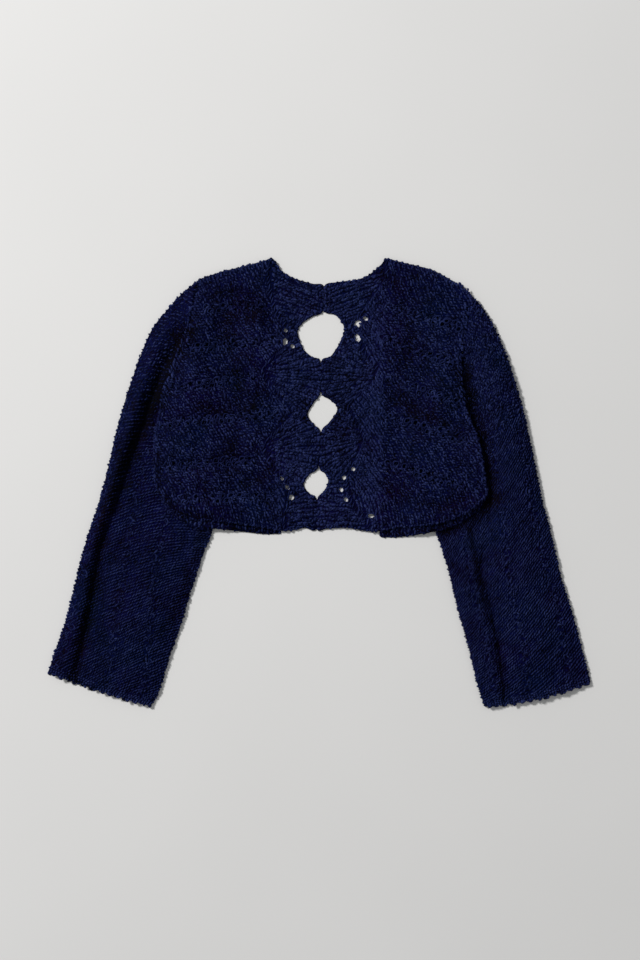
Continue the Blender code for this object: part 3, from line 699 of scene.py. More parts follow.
FANS = {
    "left": table(
        FAN_COLUMNS,
        (((-60.6, 292), (-60, 250), (-54, 215), (-36, 188)),
         ((6, 258), (5.4, 224.6), (-8.3, 216.7), (-19.9, 209.6), (-28, 199.4), (-29, 190))),
        (((-74, 153), (-71, 141), (-68, 131)),
         ((-34, 189), (-25.9, 187.7), (-20.9, 174.7), (-9.6, 164.7), (1.9, 157.8), (1.8, 118.8),
          (-7, 104.8), (-14.9, 89.8), (-32, 91.5))),
        (((-71.5, 55), (-69, 43), (-68, 32)),
         ((-32, 91.5), (-14.9, 89.8), (-7.6, 77), (1.8, 65.7), (-0.6, 22.1), (-12.5, 11.6),
          (-20, -1.2), (-38, -3))),
        (((-40, -3), (-45.4, -44), (-47, -66)),
         ((-20, -1.2), (-14, -12.3), (-3.1, -21.6), (-3.7, -62))),
    ),
    "right": table(
        FAN_COLUMNS,
        (((88, 292), (84.6, 264), (57, 224), (40, 198)),
         ((6, 258), (5.4, 224.6), (20.3, 218.9), (30.1, 207.5), (32, 195))),
        (((77, 150), (71, 139), (69.5, 128)),
         ((38, 198), (31, 190), (25.4, 181.2), (13.8, 164.7), (1.9, 157.8), (1.8, 118.8),
          (12, 109.7), (21.3, 101.9), (35, 98))),
        (((60, 66), (59, 59), (57, 52)),
         ((35, 98), (22.2, 92.8), (12, 78.7), (1.8, 65.7), (-0.6, 22.1), (11.1, 6.2), (34, 6))),
        (((36, 6), (45, -31), (62, -48), (66, -68)),
         ((11, 6.2), (9.9, -3), (-3.1, -21.6), (-3.7, -62))),
    ),
}
LEAN_COLUMNS = "y lean"
LEANS = {
    "left": table(LEAN_COLUMNS, (300, 0.35), (255, 0.55), (225, 0.67), (0, 0.67), (-30, 0.30), (-70, 0.10)),
    "right": table(LEAN_COLUMNS, (300, 0.25), (250, 0.45), (215, 0.67), (0, 0.67), (-30, 0.30), (-70, 0.10)),
}

# %% [markdown]
# ## Rows of stitches
#
# The rows of the plain bands follow the lean. A row is a long line over the whole half, and
# it is cut wherever a column of eyelets, a fan or an edge is in its way. A few tenths of a
# millimetre of slow waver keep the rows from looking ruled.

# %% Rows of the plain bands
def waver(values, phase, size):
    """A slow, uneven sway of a line."""
    return size * (np.sin(values / 11.0 + phase) + 0.6 * np.sin(values / 4.3 + 2.3 * phase))


def body_rows(side, outline):
    """The rows of one half, from the neck to the hem."""
    leans = np.array(LEANS[side])[::-1]
    y = np.arange(outline[:, 1].min(), outline[:, 1].max(), 1.5)
    lean = np.interp(y, leans[:, 0], leans[:, 1])
    drift = np.concatenate([[0], np.cumsum((lean[1:] + lean[:-1]) / 2 * np.diff(y))])
    low, high = outline[:, 0].min(), outline[:, 0].max() + drift[-1]
    rows = []
    for number, start in enumerate(np.arange(low, high, ROW / math.cos(ROW_LEAN))):
        x = start - drift + waver(y, number * 1.7, 0.7) + 2.2 * np.sin(y / 26.0 + start / 33.0)
        rows.append(np.column_stack([x, y]))
    return rows


def sleeve_rows(sleeve):
    """The rows of a sleeve, from the seam at the middle of the under side all the way round."""
    w = np.arange(0, Sleeve.ROUND + 1, 1.5)
    reach = abs(sleeve.lean) * Sleeve.ROUND / 2
    step = ROW * math.hypot(1, sleeve.lean)
    rows = []
    for number, start in enumerate(np.arange(-reach, sleeve.length + reach, step)):
        along = start - sleeve.lean * (w - Sleeve.ROUND / 2) + waver(w, number * 1.3, 0.35)
        along += 1.6 * np.sin(w / 31.0 + start / 41.0)
        rows.append(np.column_stack([along, w]))
    return rows


def fan_rows(side):
    """The garter ridges of the fans: every other one stops where they come close together."""
    rows = []
    for fan in FANS[side]:
        slack, joined = np.array(fan.slack_end, float), np.array(fan.joined_end, float)
        lengths = [travelled(line) for line in (slack, joined)]
        count = max(2, round(lengths[1][-1] / FAN_ROW))
        for number in range(count + 1):
            share = number / count
            ends = [np.array([np.interp(share * length[-1], length, line[:, axis]) for axis in (0, 1)])
                    for line, length in zip((slack, joined), lengths)]
            close, wide = lengths[0][-1] / count, lengths[1][-1] / count
            level = (number & -number).bit_length() - 1 if number else 6
            need = 2.5 / 2 ** level
            first = 0.0 if close >= need else min(1.0, (need - close) / max(wide - close, 1e-6))
            t = np.arange(first, 1.0, 1.5 / max(np.linalg.norm(ends[1] - ends[0]), 2))[:, None]
            if len(t) > 3:
                line = ends[0] * (1 - t) + ends[1] * t
                across = np.array((ends[0][1] - ends[1][1], ends[1][0] - ends[0][0]))
                across /= np.linalg.norm(across)
                rows.append(line + across * waver(t * 60, number * 2.1, 0.9))
    return rows


# %% [markdown]
# ## Eyelets
#
# Each column is a chain of eyelets in two staggered rows, and here and there the yarn has
# closed one. A yarn-over loop runs round every open one on the body and round a third of those
# on the sleeves. It is thicker where the yarn crosses itself, on the side towards the neck and
# the left. On a sleeve the columns begin below the shoulder.

# %% Yarn-over loops
CLOSED_BODY = 0.34
CLOSED_SLEEVE = 0.16
CROSSING = math.radians(125)


def eyelet_places(start, end, step, shift):
    """The middles of the eyelets along a straight column."""
    start, end = np.array(start, float), np.array(end, float)
    count = int(np.linalg.norm(end - start) / step)
    way = (end - start) / np.linalg.norm(end - start)
    places = start + way * step * np.arange(count + 1)[:, None]
    places[:, 1] += np.where(np.arange(count + 1) % 2 == 1, shift, -shift)
    return places


def some_of(places, closed):
    """The places without a share of them, where the yarn has closed the eyelet."""
    return places[np.random.default_rng(7).random(len(places)) > closed]


def body_eyelets(side):
    """The middles of all the eyelets of one half."""
    places = [eyelet_places((row.start_x, row.start_y), (row.end_x, row.end_y),
                            EYELET_STEP, EYELET_SHIFT) for row in COLUMNS[side]]
    return some_of(np.vstack(places), CLOSED_BODY)


def sleeve_eyelets(sleeve, stop):
    """The middles of all the eyelets of a sleeve, by length and way round."""
    along = np.arange(SHOULDER, stop, EYELET_STEP)
    sign = np.where(np.arange(len(along)) % 2 == 1, 1, -1)
    places = [np.column_stack([along, sleeve.column(number, along)
                               + sign * EYELET_SHIFT / sleeve.scale(along)])
              for number in range(len(sleeve.columns))]
    return some_of(np.vstack(places), CLOSED_SLEEVE)


def loops_round(places, stretch, turn, seed, body=0.25, grow=0.9, steps=9):
    """Slanting ellipses round the places, no two alike, with the thickness of their yarn."""
    chance = np.random.default_rng(seed)
    count = len(places)
    angle = np.arange(steps) / steps * 2 * math.pi
    size = chance.uniform(0.55, 1.16, (count, 1))
    slant = turn + chance.normal(0, 0.75, (count, 1))
    long = (EYELET_LONG / 2 + grow) * np.cos(angle) * size
    wide = (EYELET_WIDE / 2 + grow) * np.sin(angle) * size
    x = long * np.cos(slant) - wide * np.sin(slant)
    y = long * np.sin(slant) + wide * np.cos(slant)
    middles = places + chance.normal(0, 1.15, (count, 2))
    rings = np.stack([middles[:, :1] + x, middles[:, 1:] + y * stretch[:, None]], -1)
    crossing = np.cos(angle + slant - CROSSING + chance.normal(0, 0.5, (count, 1)))
    thick = np.clip(chance.uniform(body, body + 0.45, (count, 1)) + 0.6 * crossing, 0.14, 1.2)
    return list(rings), thick.ravel()


# %% [markdown]
# ## The cloth under the stitches
#
# Real knitting is open: between the stitches one sees the yarn behind them, in shade. A thin
# shell with the true eyelets cut out stands for that ground, and the stitches stand on it. The
# ground's darker navy is painted shade, and it is painted darker still in the hollows.
# The few wide eyelets are cut a little wider, because the yarn round them is drawn too. The
# fronts' shell lies higher in the cloth, so that the stitches of their under side stand out.
# Its plan is triangulated once, and the same plan serves both faces, so its wall is closed.

# %% The cloth of the panels
CLOTH_DEPTH = 1.1
FRONT_DEPTH = 0.4
SLEEVE_DEPTH = CLOTH_DEPTH * 0.8
CLOTH_WALL = 0.5
CLOTH_GRID = 4.5
# The ground's base shade and how much darker it is painted in the hollows: painted shade.
GROUND_SHADE = 0.3
GROUND_HOLLOW_SHADE = 3.4
WIDE_EYELET = 1.22
WIDE_CORNERS = 5


def plan_triangles(outline, holes, step):
    """Points and triangles over an outline with holes in it."""
    low, high = outline.min(0), outline.max(0)
    xs, ys = np.arange(low[0], high[0], step), np.arange(low[1], high[1], step)
    grid = np.stack(np.meshgrid(xs, ys), -1).reshape(-1, 2)
    clear = inside(grid, outline) & (distance(grid, outline, closed=True) > step * 0.5)
    for hole in holes:
        reach = np.linalg.norm(hole - hole.mean(0), axis=1).max() + step * 0.3
        clear &= np.linalg.norm(grid - hole.mean(0), axis=1) > reach
    loops = [outline] + holes
    points = np.vstack(loops + [grid[clear]])
    owner = np.concatenate([np.full(len(loop), number) for number, loop in enumerate(loops)]
                           + [np.full(clear.sum(), -1)])
    edges, first = [], 0
    for loop in loops:
        edges += [(first + place, first + (place + 1) % len(loop)) for place in range(len(loop))]
        first += len(loop)
    found = delaunay_2d_cdt([Vector(point) for point in points], edges, [], 0, 1e-5)
    corners = np.array([point[:] for point in found[0]])
    faces = np.array([face for face in found[2] if len(face) == 3])
    owners = np.array([owner[source[0]] if source else -1 for source in found[3]])[faces]
    in_hole = (owners[:, 0] > 0) & (owners == owners[:, :1]).all(1)
    keep = ~in_hole & inside(corners[faces].mean(1), outline)
    return corners, faces[keep]


def put_in_scene(name, data):
    """A new object in the scene."""
    piece = bpy.data.objects.new(name, data)
    bpy.context.scene.collection.objects.link(piece)
    return piece


def closed_wall(name, upper, lower, faces, full):
    """A thin closed wall between two faces of the same plan, in metres, with painted shade in the hollows."""
    count = len(upper)
    edges = {(a, b) for face in faces.tolist() for a, b in zip(face, face[1:] + face[:1])}
    rim = [(a + count, b + count, b, a) for a, b in edges if (b, a) not in edges]
    mesh = bpy.data.meshes.new(name)
    polygons = faces.tolist() + (faces[:, ::-1] + count).tolist() + rim
    mesh.from_pydata(np.vstack([upper, lower]) * MM, [], polygons)
    mesh.shade_smooth()
    shade = mesh.attributes.new("shade", "FLOAT", "POINT")
    # Painted shade: the ground is darker where the hollows thin the stitches.
    shade.data.foreach_set("value", np.tile(GROUND_SHADE + GROUND_HOLLOW_SHADE * (full - 1), 2))
    return put_in_scene(name, mesh)


def panel_cloth(panel):
    """The shell of a panel, with its eyelets."""
    holes = [smooth(loop if len(loop) < WIDE_CORNERS
                    else loop * WIDE_EYELET - loop.mean(0) * (WIDE_EYELET - 1), 2.2, closed=True)
             for loop in panel.eyelets]
    corners, faces = plan_triangles(panel.outline, holes, CLOTH_GRID)
    depth = CLOTH_DEPTH if panel.loft else FRONT_DEPTH
    upper, lower = panel.skin(corners, depth), panel.skin(corners, depth + CLOTH_WALL)
    return closed_wall(panel.node + "_cloth", upper, lower, faces, panel.fullness_and_shade(corners))


def sleeve_cloth(name, sleeve):
    """The shell of a sleeve: an open tube with a thin wall."""
    rim = 0.03 * (1 - np.cos(np.linspace(0, math.pi / 2, 7)))
    half = np.concatenate([rim, np.linspace(0.03, 0.47, 44)[1:-1], 0.5 - rim[::-1]])[:-1]
    turns = np.concatenate([half + 0.25, half + 0.75]) * Sleeve.ROUND
    lengths = np.linspace(0.6, sleeve.length - 0.6, round(sleeve.length / CLOTH_GRID))
    places = np.stack(np.meshgrid(lengths, turns, indexing="ij"), -1).reshape(-1, 2)
    across = len(turns)
    faces = []
    for row in range(len(lengths) - 1):
        for place in range(across):
            after = (place + 1) % across
            face = (row * across + place, (row + 1) * across + place,
                    (row + 1) * across + after, row * across + after)
            faces.append(face if sleeve.hand > 0 else face[::-1])
    upper, lower = sleeve.skin(places, SLEEVE_DEPTH), sleeve.skin(places, SLEEVE_DEPTH + CLOTH_WALL)
    return closed_wall(name + "_cloth", upper, lower, np.array(faces), sleeve.fullness_and_shade(places))


cloths = {name: panel_cloth(panel) for name, panel in panels.items()}
cloths.update({name: sleeve_cloth(name, sleeve) for name, sleeve in sleeves.items()})
for name, cloth in cloths.items():
    print(name, "cloth triangles", sum(len(face.vertices) - 2 for face in cloth.data.polygons))

# %% [markdown]
# ## Node trees, written down
#
# Both the shading and the repeating of stitches are done by node trees. A small helper adds a
# node, sets its properties and joins its inputs in one call, so each tree below reads from
# top to bottom like a recipe.

# %% A helper for node trees
class Tree:
    """A node tree that is written down node by node."""

    def __init__(self, tree):
        self.tree = tree

    def __call__(self, kind, inputs=None, **settings):
        node = self.tree.nodes.new(kind)
        for name, value in settings.items():
            setattr(node, name, value)
        for key, value in (inputs or {}).items():
            self.join(node.inputs[key], value)
        return node

    def join(self, socket, value):
        """Give an input its value, or a link to another node's output."""
        if isinstance(value, bpy.types.NodeSocket):
            self.tree.links.new(value, socket)
        else:
            socket.default_value = value

    def math(self, operation, *values):
        """A sum, product or other operation."""
        node = self("ShaderNodeMath", dict(enumerate(values)), operation=operation)
        return node.outputs[0]


def new_tree(name, kind, inputs, outputs):
    """An empty node group with named inputs and outputs."""
    group = bpy.data.node_groups.new(name, kind)
    for label, socket in inputs:
        group.interface.new_socket(label, in_out="INPUT", socket_type="NodeSocket" + socket)
    for label, socket in outputs:
        group.interface.new_socket(label, in_out="OUTPUT", socket_type="NodeSocket" + socket)
    tree = Tree(group)
    return tree, tree("NodeGroupInput").outputs, tree("NodeGroupOutput").inputs


def new_material(name):
    """A material, its node tree and its shader."""
    material = bpy.data.materials.new(name)
    material.use_nodes = True
    return material, Tree(material.node_tree), material.node_tree.nodes["Principled BSDF"]


# %% [markdown]
# ## Wool
#
# The yarn is a dark navy wool of two plies. Four things make it look like yarn: the plies
# wind round it as slanting ridges, every stitch has taken the dye a little differently, the
# navy drifts slowly between a purple and a green cast, and loose fibres scatter light at its
# edges. The first three are a shared group, which both materials use; the fibres are the sheen
# of the shader itself. The group also paints light into the colour: the hollows come out
# darker, as painted shade, and the brightest stitches take a pale cast that is partly paler
# fibres and partly painted sheen.

# %% The wool group
HUE_DRIFT = 0.0034
HUE_CAST = 0.0005
DARKEST = 0.07


def wool_group():
    """Colour and surface of a two-ply yarn."""
    tree, given, result = new_tree(
        "wool", "ShaderNodeTree",
        [("Dye", "Color"), ("Pale fibre and sheen", "Color"), ("Grain", "Float"), ("Twist", "Float"), ("Depth", "Float")],
        [("Colour", "Color"), ("Normal", "Vector")])
    shade = tree("ShaderNodeAttribute", attribute_name="shade").outputs["Fac"]
    place = tree("ShaderNodeTexCoord").outputs["Object"]

    def noise(scale, detail):
        return tree("ShaderNodeTexNoise", {"Vector": place, "Scale": scale, "Detail": detail}).outputs[0]

    patches, spots, grain = noise(22.0, 3.0), noise(85.0, 2.0), noise(460.0, 1.0)
    fibres, drift = noise(1900.0, 3.0), noise(16.0, 2.0)
    # The shade attribute holds each stitch's own dye and the painted shade of the hollows.
    tone = tree.math("MULTIPLY_ADD", shade, 1.15, 0.15)
    tone = tree.math("MULTIPLY_ADD", patches, 0.85, tone)
    tone = tree.math("MULTIPLY_ADD", tree.math("SUBTRACT", spots, 0.5), 1.1, tone)
    tone = tree.math("MULTIPLY_ADD", tree.math("SUBTRACT", grain, 0.5), given["Grain"], tone)
    tone = tree.math("SUBTRACT", tone, 0.15)
    tone = tree.math("MAXIMUM", tone, DARKEST)
    tone = tree.math("MULTIPLY", tone, tree.math("MULTIPLY_ADD", fibres, 0.9, 0.55))
    dyed = tree("ShaderNodeVectorMath", {0: given["Dye"], "Scale": tone}, operation="SCALE")
    # Pale cast that grows with tone: partly paler fibres, partly painted sheen.
    fibre_and_sheen_cast = tree("ShaderNodeVectorMath", {0: given["Pale fibre and sheen"], "Scale": tree.math("POWER", tone, 2.0)},
                operation="SCALE")
    colour = tree("ShaderNodeVectorMath", {0: dyed.outputs[0], 1: fibre_and_sheen_cast.outputs[0]}, operation="ADD")
    drift = tree.math("SUBTRACT", drift, 0.5)
    cast = tree("ShaderNodeCombineXYZ", {0: tree.math("MULTIPLY_ADD", drift, HUE_DRIFT, HUE_CAST),
                                         1: tree.math("MULTIPLY", drift, -HUE_DRIFT)})
    colour = tree("ShaderNodeVectorMath", {0: colour.outputs[0], 1: cast.outputs[0]}, operation="ADD")
    colour = tree("ShaderNodeVectorMath", {0: colour.outputs[0], 1: (0.0, 0.0, 0.0)}, operation="MAXIMUM")
    tree.join(result["Colour"], colour.outputs[0])
    winding = tree("ShaderNodeSeparateXYZ", {0: tree("ShaderNodeUVMap", uv_map="UVMap").outputs[0]}).outputs
    turn = tree.math("MULTIPLY_ADD", winding[0], given["Twist"], winding[1])
    ply = tree.math("SINE", tree.math("MULTIPLY", turn, 4 * math.pi))
    relief = tree.math("MULTIPLY_ADD", fibres, 0.8, ply)
    bump = tree("ShaderNodeBump", {"Height": relief, "Distance": given["Depth"], "Strength": 0.6})
    tree.join(result["Normal"], bump.outputs[0])
    return tree.tree


WOOL = wool_group()


def wool_material(name, dye, pale_fibre_and_sheen, sheen, grain, twist=1.6, depth=0.00012):
    """A matt wool of one dye, whose palest fibres have taken less of it. The pale cast of the brightest
    stitches is partly those fibres and partly painted sheen.
    """
    material, tree, shader = new_material(name)
    wool = tree("ShaderNodeGroup", node_tree=WOOL)
    values = {"Dye": (*dye, 1.0), "Pale fibre and sheen": (*pale_fibre_and_sheen, 1.0), "Grain": grain, "Twist": twist, "Depth": depth}
    for key, value in values.items():
        wool.inputs[key].default_value = value
    tree.join(shader.inputs["Base Color"], wool.outputs["Colour"])
    tree.join(shader.inputs["Normal"], wool.outputs["Normal"])
    shader.inputs["Roughness"].default_value = 0.75
    shader.inputs["Specular IOR Level"].default_value = 0.03
    shader.inputs["Sheen Weight"].default_value = sheen
    shader.inputs["Sheen Roughness"].default_value = 0.45
    shader.inputs["Sheen Tint"].default_value = (0.35, 0.42, 0.85, 1.0)
    return material


# The yarn's dye, and the pale cast of its brightest stitches: partly paler fibres, partly painted sheen.
DYE, PALE_FIBRE_AND_SHEEN = (0.0037, 0.0082, 0.065), (0.0053, 0.0062, 0.0)
yarn = wool_material("navy_yarn", DYE, PALE_FIBRE_AND_SHEEN, 0.025, 0.8)
# The ground is the same wool painted into shade: a darker navy with no sheen.
ground = wool_material("navy_ground_in_painted_shade", (0.0002, 0.0014, 0.023), (0.0, 0.0, 0.0), 0.0, 3.6)

# %% [markdown]
# ## One stitch
#
# A stitch that shows as part of a ridge is a short, plump length of yarn with both its ends
# tucked under its neighbours. Three rings of three points and two tips are enough, because the
# camera never sees one larger than a few pixels. Its texture coordinates run along the yarn
# and round it, so the plies can wind.

# %% The stitch
def stitch_object():
    """A plump length of yarn, one unit long, wide and high."""
    rings = ((-0.30, 0.42, -0.08), (0.0, 0.5, 0.02), (0.30, 0.42, -0.08))
    angles = [math.pi / 2 + place * 2 * math.pi / 3 for place in range(3)]
    corners = [(x, 1.15 * size * math.cos(angle), lift + size * math.sin(angle))
               for x, size, lift in rings for angle in angles]
    corners += [(-0.5, 0.0, -0.22), (0.5, 0.0, -0.22)]
    faces, wraps = [], []
    for place in range(3):
        after, turn, next_turn = (place + 1) % 3, place / 3, (place + 1) / 3
        for ring in (0, 3):
            faces.append((ring + place, ring + 3 + place, ring + 3 + after, ring + after))
            wraps.append((turn, turn, next_turn, next_turn))
        faces += [(9, place, after), (10, 6 + after, 6 + place)]
        wraps += [(turn, turn, next_turn), (turn, next_turn, turn)]
    mesh = bpy.data.meshes.new("stitch")
    mesh.from_pydata(corners, [], faces)
    uv = mesh.uv_layers.new(name="UVMap").data
    for polygon, wrap in zip(mesh.polygons, wraps):
        for loop, turn in zip(polygon.loop_indices, wrap):
            uv[loop].uv = (mesh.vertices[mesh.loops[loop].vertex_index].co.x + 0.5, turn)
    shape = bmesh.new()
    shape.from_mesh(mesh)
    bmesh.ops.recalc_face_normals(shape, faces=shape.faces)
    shape.to_mesh(mesh)
    shape.free()
    return bpy.data.objects.new("stitch", mesh)


STITCH_SHAPE = stitch_object()

# %% [markdown]
# ## Stitches along rows
#
# The first tree sets stitches along the rows. It steps along each row by the pitch, stands
# each stitch up on the cloth, lays it along its row, turns it a little in the cloth's plane
# as yarn crosses from one stitch to the next, and gives it its own small difference of size
# and dye. Where a hollow thins a stitch, the tree also darkens it: painted shade.

# %% The tree for stitches along rows
# How much darker a stitch is painted where a hollow thins it: painted shade.
STITCH_HOLLOW_SHADE = 2.2


def stitch_tree():
    """Geometry Nodes that repeat one stitch along lines."""
    tree, given, result = new_tree(
        "stitches along rows", "GeometryNodeTree",
        [("Rows", "Geometry"), ("Stitch", "Object"), ("Pitch", "Float"), ("Size", "Vector"),
         ("Turn", "Float"), ("Spread", "Float"), ("Uneven", "Float"), ("Scatter", "Float"),
         ("Vary", "Float"), ("Yarn", "Material"), ("Seed", "Int")],
        [("Stitches", "Geometry")])
    curve = tree("GeometryNodeMeshToCurve", {0: given["Rows"]})
    points = tree("GeometryNodeCurveToPoints", {0: curve.outputs[0], "Length": given["Pitch"]},
                  mode="LENGTH")
    up = tree("GeometryNodeInputNamedAttribute", {"Name": "cloth_normal"}, data_type="FLOAT_VECTOR")
    grow = tree("GeometryNodeInputNamedAttribute", {"Name": "thickness"}, data_type="FLOAT")
    stand = tree("FunctionNodeAlignRotationToVector", {"Vector": up.outputs[0]}, axis="Z")
    lie = tree("FunctionNodeAlignRotationToVector",
               {"Rotation": stand.outputs[0], "Vector": points.outputs["Tangent"]},
               axis="X", pivot_axis="Z")
    spread = tree("FunctionNodeRandomValue", {2: -1.0, 3: 1.0, 8: given["Seed"]}, data_type="FLOAT")
    angle = tree.math("MULTIPLY_ADD", spread.outputs[1], given["Spread"], given["Turn"])
    turn = tree("FunctionNodeEulerToRotation", {0: tree("ShaderNodeCombineXYZ", {2: angle}).outputs[0]})
    rotation = tree("FunctionNodeRotateRotation", {0: lie.outputs[0], 1: turn.outputs[0]},
                    rotation_space="LOCAL")
    other = tree.math("ADD", given["Seed"], 1.0)
    uneven = tree("FunctionNodeRandomValue", {2: -1.0, 3: 1.0, 8: other}, data_type="FLOAT")
    size = tree.math("MULTIPLY_ADD", uneven.outputs[1], given["Uneven"], 1.0)
    size = tree.math("MULTIPLY", size, grow.outputs[0])
    scale = tree("ShaderNodeVectorMath", {0: given["Size"], "Scale": size}, operation="SCALE")
    stitch = tree("GeometryNodeObjectInfo", {"Object": given["Stitch"]})
    stray = tree("FunctionNodeRandomValue", {0: (-1.0, -1.0, -0.7), 1: (1.0, 1.0, 0.7), 8: given["Seed"]},
                 data_type="FLOAT_VECTOR")
    offset = tree("ShaderNodeVectorMath", {0: stray.outputs[0], "Scale": given["Scatter"]},
                  operation="SCALE")
    moved = tree("GeometryNodeSetPosition", {0: points.outputs[0], "Offset": offset.outputs[0]})
    placed = tree("GeometryNodeInstanceOnPoints",
                  {"Points": moved.outputs[0], "Instance": stitch.outputs["Geometry"],
                   "Rotation": rotation.outputs[0], "Scale": scale.outputs[0]})
    vary = given["Vary"]
    dye = tree("FunctionNodeRandomValue",
               {2: tree.math("SUBTRACT", 0.5, vary), 3: tree.math("ADD", 0.5, vary),
                8: tree.math("ADD", given["Seed"], 2.0)}, data_type="FLOAT")
    # Painted shade: a stitch thinned by a hollow is also darkened.
    deep = tree.math("SUBTRACT", tree.math("MINIMUM", grow.outputs[0], 1.0), 1.0)
    dye_and_hollow_shade = tree.math("MULTIPLY_ADD", deep, STITCH_HOLLOW_SHADE, dye.outputs[1])
    dyed = tree("GeometryNodeStoreNamedAttribute",
                {"Geometry": placed.outputs[0], "Name": "shade", "Value": dye_and_hollow_shade},
                data_type="FLOAT", domain="INSTANCE")
    real = tree("GeometryNodeRealizeInstances", {0: dyed.outputs[0]})
    smooth_faces = tree("GeometryNodeSetShadeSmooth", {0: real.outputs[0]})
    wool = tree("GeometryNodeSetMaterial", {0: smooth_faces.outputs[0], "Material": given["Yarn"]})
    tree.join(result["Stitches"], wool.outputs[0])
    return tree.tree


def cord_tree():
    """Geometry Nodes that draw a round yarn along lines."""
    tree, given, result = new_tree(
        "yarn along lines", "GeometryNodeTree",
        [("Lines", "Geometry"), ("Sides", "Int"), ("Yarn", "Material"), ("Seed", "Int")],
        [("Yarns", "Geometry")])
    curve = tree("GeometryNodeMeshToCurve", {0: given["Lines"]})
    spline = tree("GeometryNodeSplineParameter")
    path = tree("GeometryNodeCaptureAttribute", {0: curve.outputs[0]})
    path.capture_items.new("FLOAT", "Length")
    tree.join(path.inputs[1], spline.outputs["Length"])
    circle = tree("GeometryNodeCurvePrimitiveCircle", {"Resolution": given["Sides"], "Radius": MM})
    around = tree("GeometryNodeCaptureAttribute", {0: circle.outputs[0]})
    around.capture_items.new("FLOAT", "Factor")
    tree.join(around.inputs[1], spline.outputs["Factor"])
    thick = tree("GeometryNodeInputNamedAttribute", {"Name": "thickness"}, data_type="FLOAT")
    cord = tree("GeometryNodeCurveToMesh",
                {0: path.outputs[0], 1: around.outputs[0], "Scale": thick.outputs[0], "Fill Caps": True})
    along = tree.math("MULTIPLY", path.outputs[1], 1 / (STITCH * MM))
    uv = tree("ShaderNodeCombineXYZ", {0: along, 1: around.outputs[1]})
    mapped = tree("GeometryNodeStoreNamedAttribute",
                  {"Geometry": cord.outputs[0], "Name": "UVMap", "Value": uv.outputs[0]},
                  data_type="FLOAT2", domain="CORNER")
    island = tree("FunctionNodeRandomValue",
                  {2: -0.1, 3: 0.75, 7: tree("GeometryNodeInputMeshIsland").outputs[0], 8: given["Seed"]},
                  data_type="FLOAT")
    dyed = tree("GeometryNodeStoreNamedAttribute",
                {"Geometry": mapped.outputs[0], "Name": "shade", "Value": island.outputs[1]},
                data_type="FLOAT", domain="POINT")
    real = tree("GeometryNodeRealizeInstances", {0: dyed.outputs[0]})
    smooth_faces = tree("GeometryNodeSetShadeSmooth", {0: real.outputs[0]})
    wool = tree("GeometryNodeSetMaterial", {0: smooth_faces.outputs[0], "Material": given["Yarn"]})
    tree.join(result["Yarns"], wool.outputs[0])
    return tree.tree


STITCHES = stitch_tree()
CORDS = cord_tree()

# %% [markdown]
# ## From lines to yarn
#
# Lines are drawn in the flat, or by length and way round on a sleeve. To become yarn they are
# laid on the skin as a mesh of edges that knows the cloth's normal at each point, a tree runs
# over it, and the result is kept as a plain mesh. In a hollow the stitches are thinner, and
# their colour is darkened there as painted shade.

# %% Running a tree over lines
class Lines:
    """Lines that lie on a skin, ready for a tree."""

    def __init__(self, skin, lines, depth, side=1, closed=False, thickness=None):
        places = np.vstack(lines)
        spaced = skin.skin(places, depth, side)
        mesh = bpy.data.meshes.new("lines")
        edges, first = [], 0
        for line in lines:
            edges += [(first + place, first + place + 1) for place in range(len(line) - 1)]
            edges += [(first + len(line) - 1, first)] if closed else []
            first += len(line)
        mesh.from_pydata(spaced * MM, edges, [])
        normal = mesh.attributes.new("cloth_normal", "FLOAT_VECTOR", "POINT")
        normal.data.foreach_set("vector", skin.normal(places, side).ravel())
        thick = mesh.attributes.new("thickness", "FLOAT", "POINT")
        values = np.ones(len(places)) if thickness is None else np.asarray(thickness, float).ravel()
        # The hollows' share sets the stitches' size and, through it, their painted shade.
        if side > 0:
            values = values * skin.fullness_and_shade(places)
        thick.data.foreach_set("value", values)
        self.guide = put_in_scene("lines", mesh)

    def run(self, tree, **values):
        """The plain mesh that a tree makes of the lines."""
        modifier = self.guide.modifiers.new("yarn", "NODES")
        modifier.node_group = tree
        for item in tree.interface.items_tree:
            if item.in_out == "INPUT" and item.name in values:
                modifier[item.identifier] = values[item.name]
        self.guide.update_tag()
        depsgraph = bpy.context.evaluated_depsgraph_get()
        made = bpy.data.meshes.new_from_object(self.guide.evaluated_get(depsgraph))
        mesh = self.guide.data
        bpy.data.objects.remove(self.guide)
        bpy.data.meshes.remove(mesh)
        return made


def begun_anywhere(lines, pitch, seed):
    """The same lines, each begun a random part of a stitch later, so that rows don't line up."""
    chance = np.random.default_rng(seed)
    begun = []
    for line in lines:
        length = travelled(line)
        first = chance.random() * min(pitch, length[-1] * 0.4)
        start = [np.interp(first, length, column) for column in line.T]
        begun.append(np.vstack([[start], line[length > first]]))
    return begun


def rows_of_stitches(skin, lines, depth=0.5, side=1, size=(1.30, 2.45, 2.8), pitch=STITCH,
                     turn=0.22, spread=0.5, uneven=0.34, scatter=0.7, vary=0.45, seed=1, closed=False):
    """Stitches along lines. Their length is a share of the pitch, the rest is in millimetres."""
    real = (size[0] * pitch * MM, size[1] * MM, size[2] * MM)
    lines = lines if closed else begun_anywhere(lines, pitch, seed)
    return Lines(skin, lines, depth, side, closed).run(
        STITCHES, Stitch=STITCH_SHAPE, Pitch=pitch * MM, Size=real, Turn=turn, Spread=spread,
        Uneven=uneven, Scatter=scatter * MM, Vary=vary, Yarn=yarn, Seed=seed)


def yarn_lines(skin, lines, depth=0.4, side=1, closed=False, thickness=None, sides=4, seed=1):
    """A round yarn along each line."""
    return Lines(skin, lines, depth, side, closed, thickness).run(CORDS, Sides=sides, Yarn=yarn, Seed=seed)


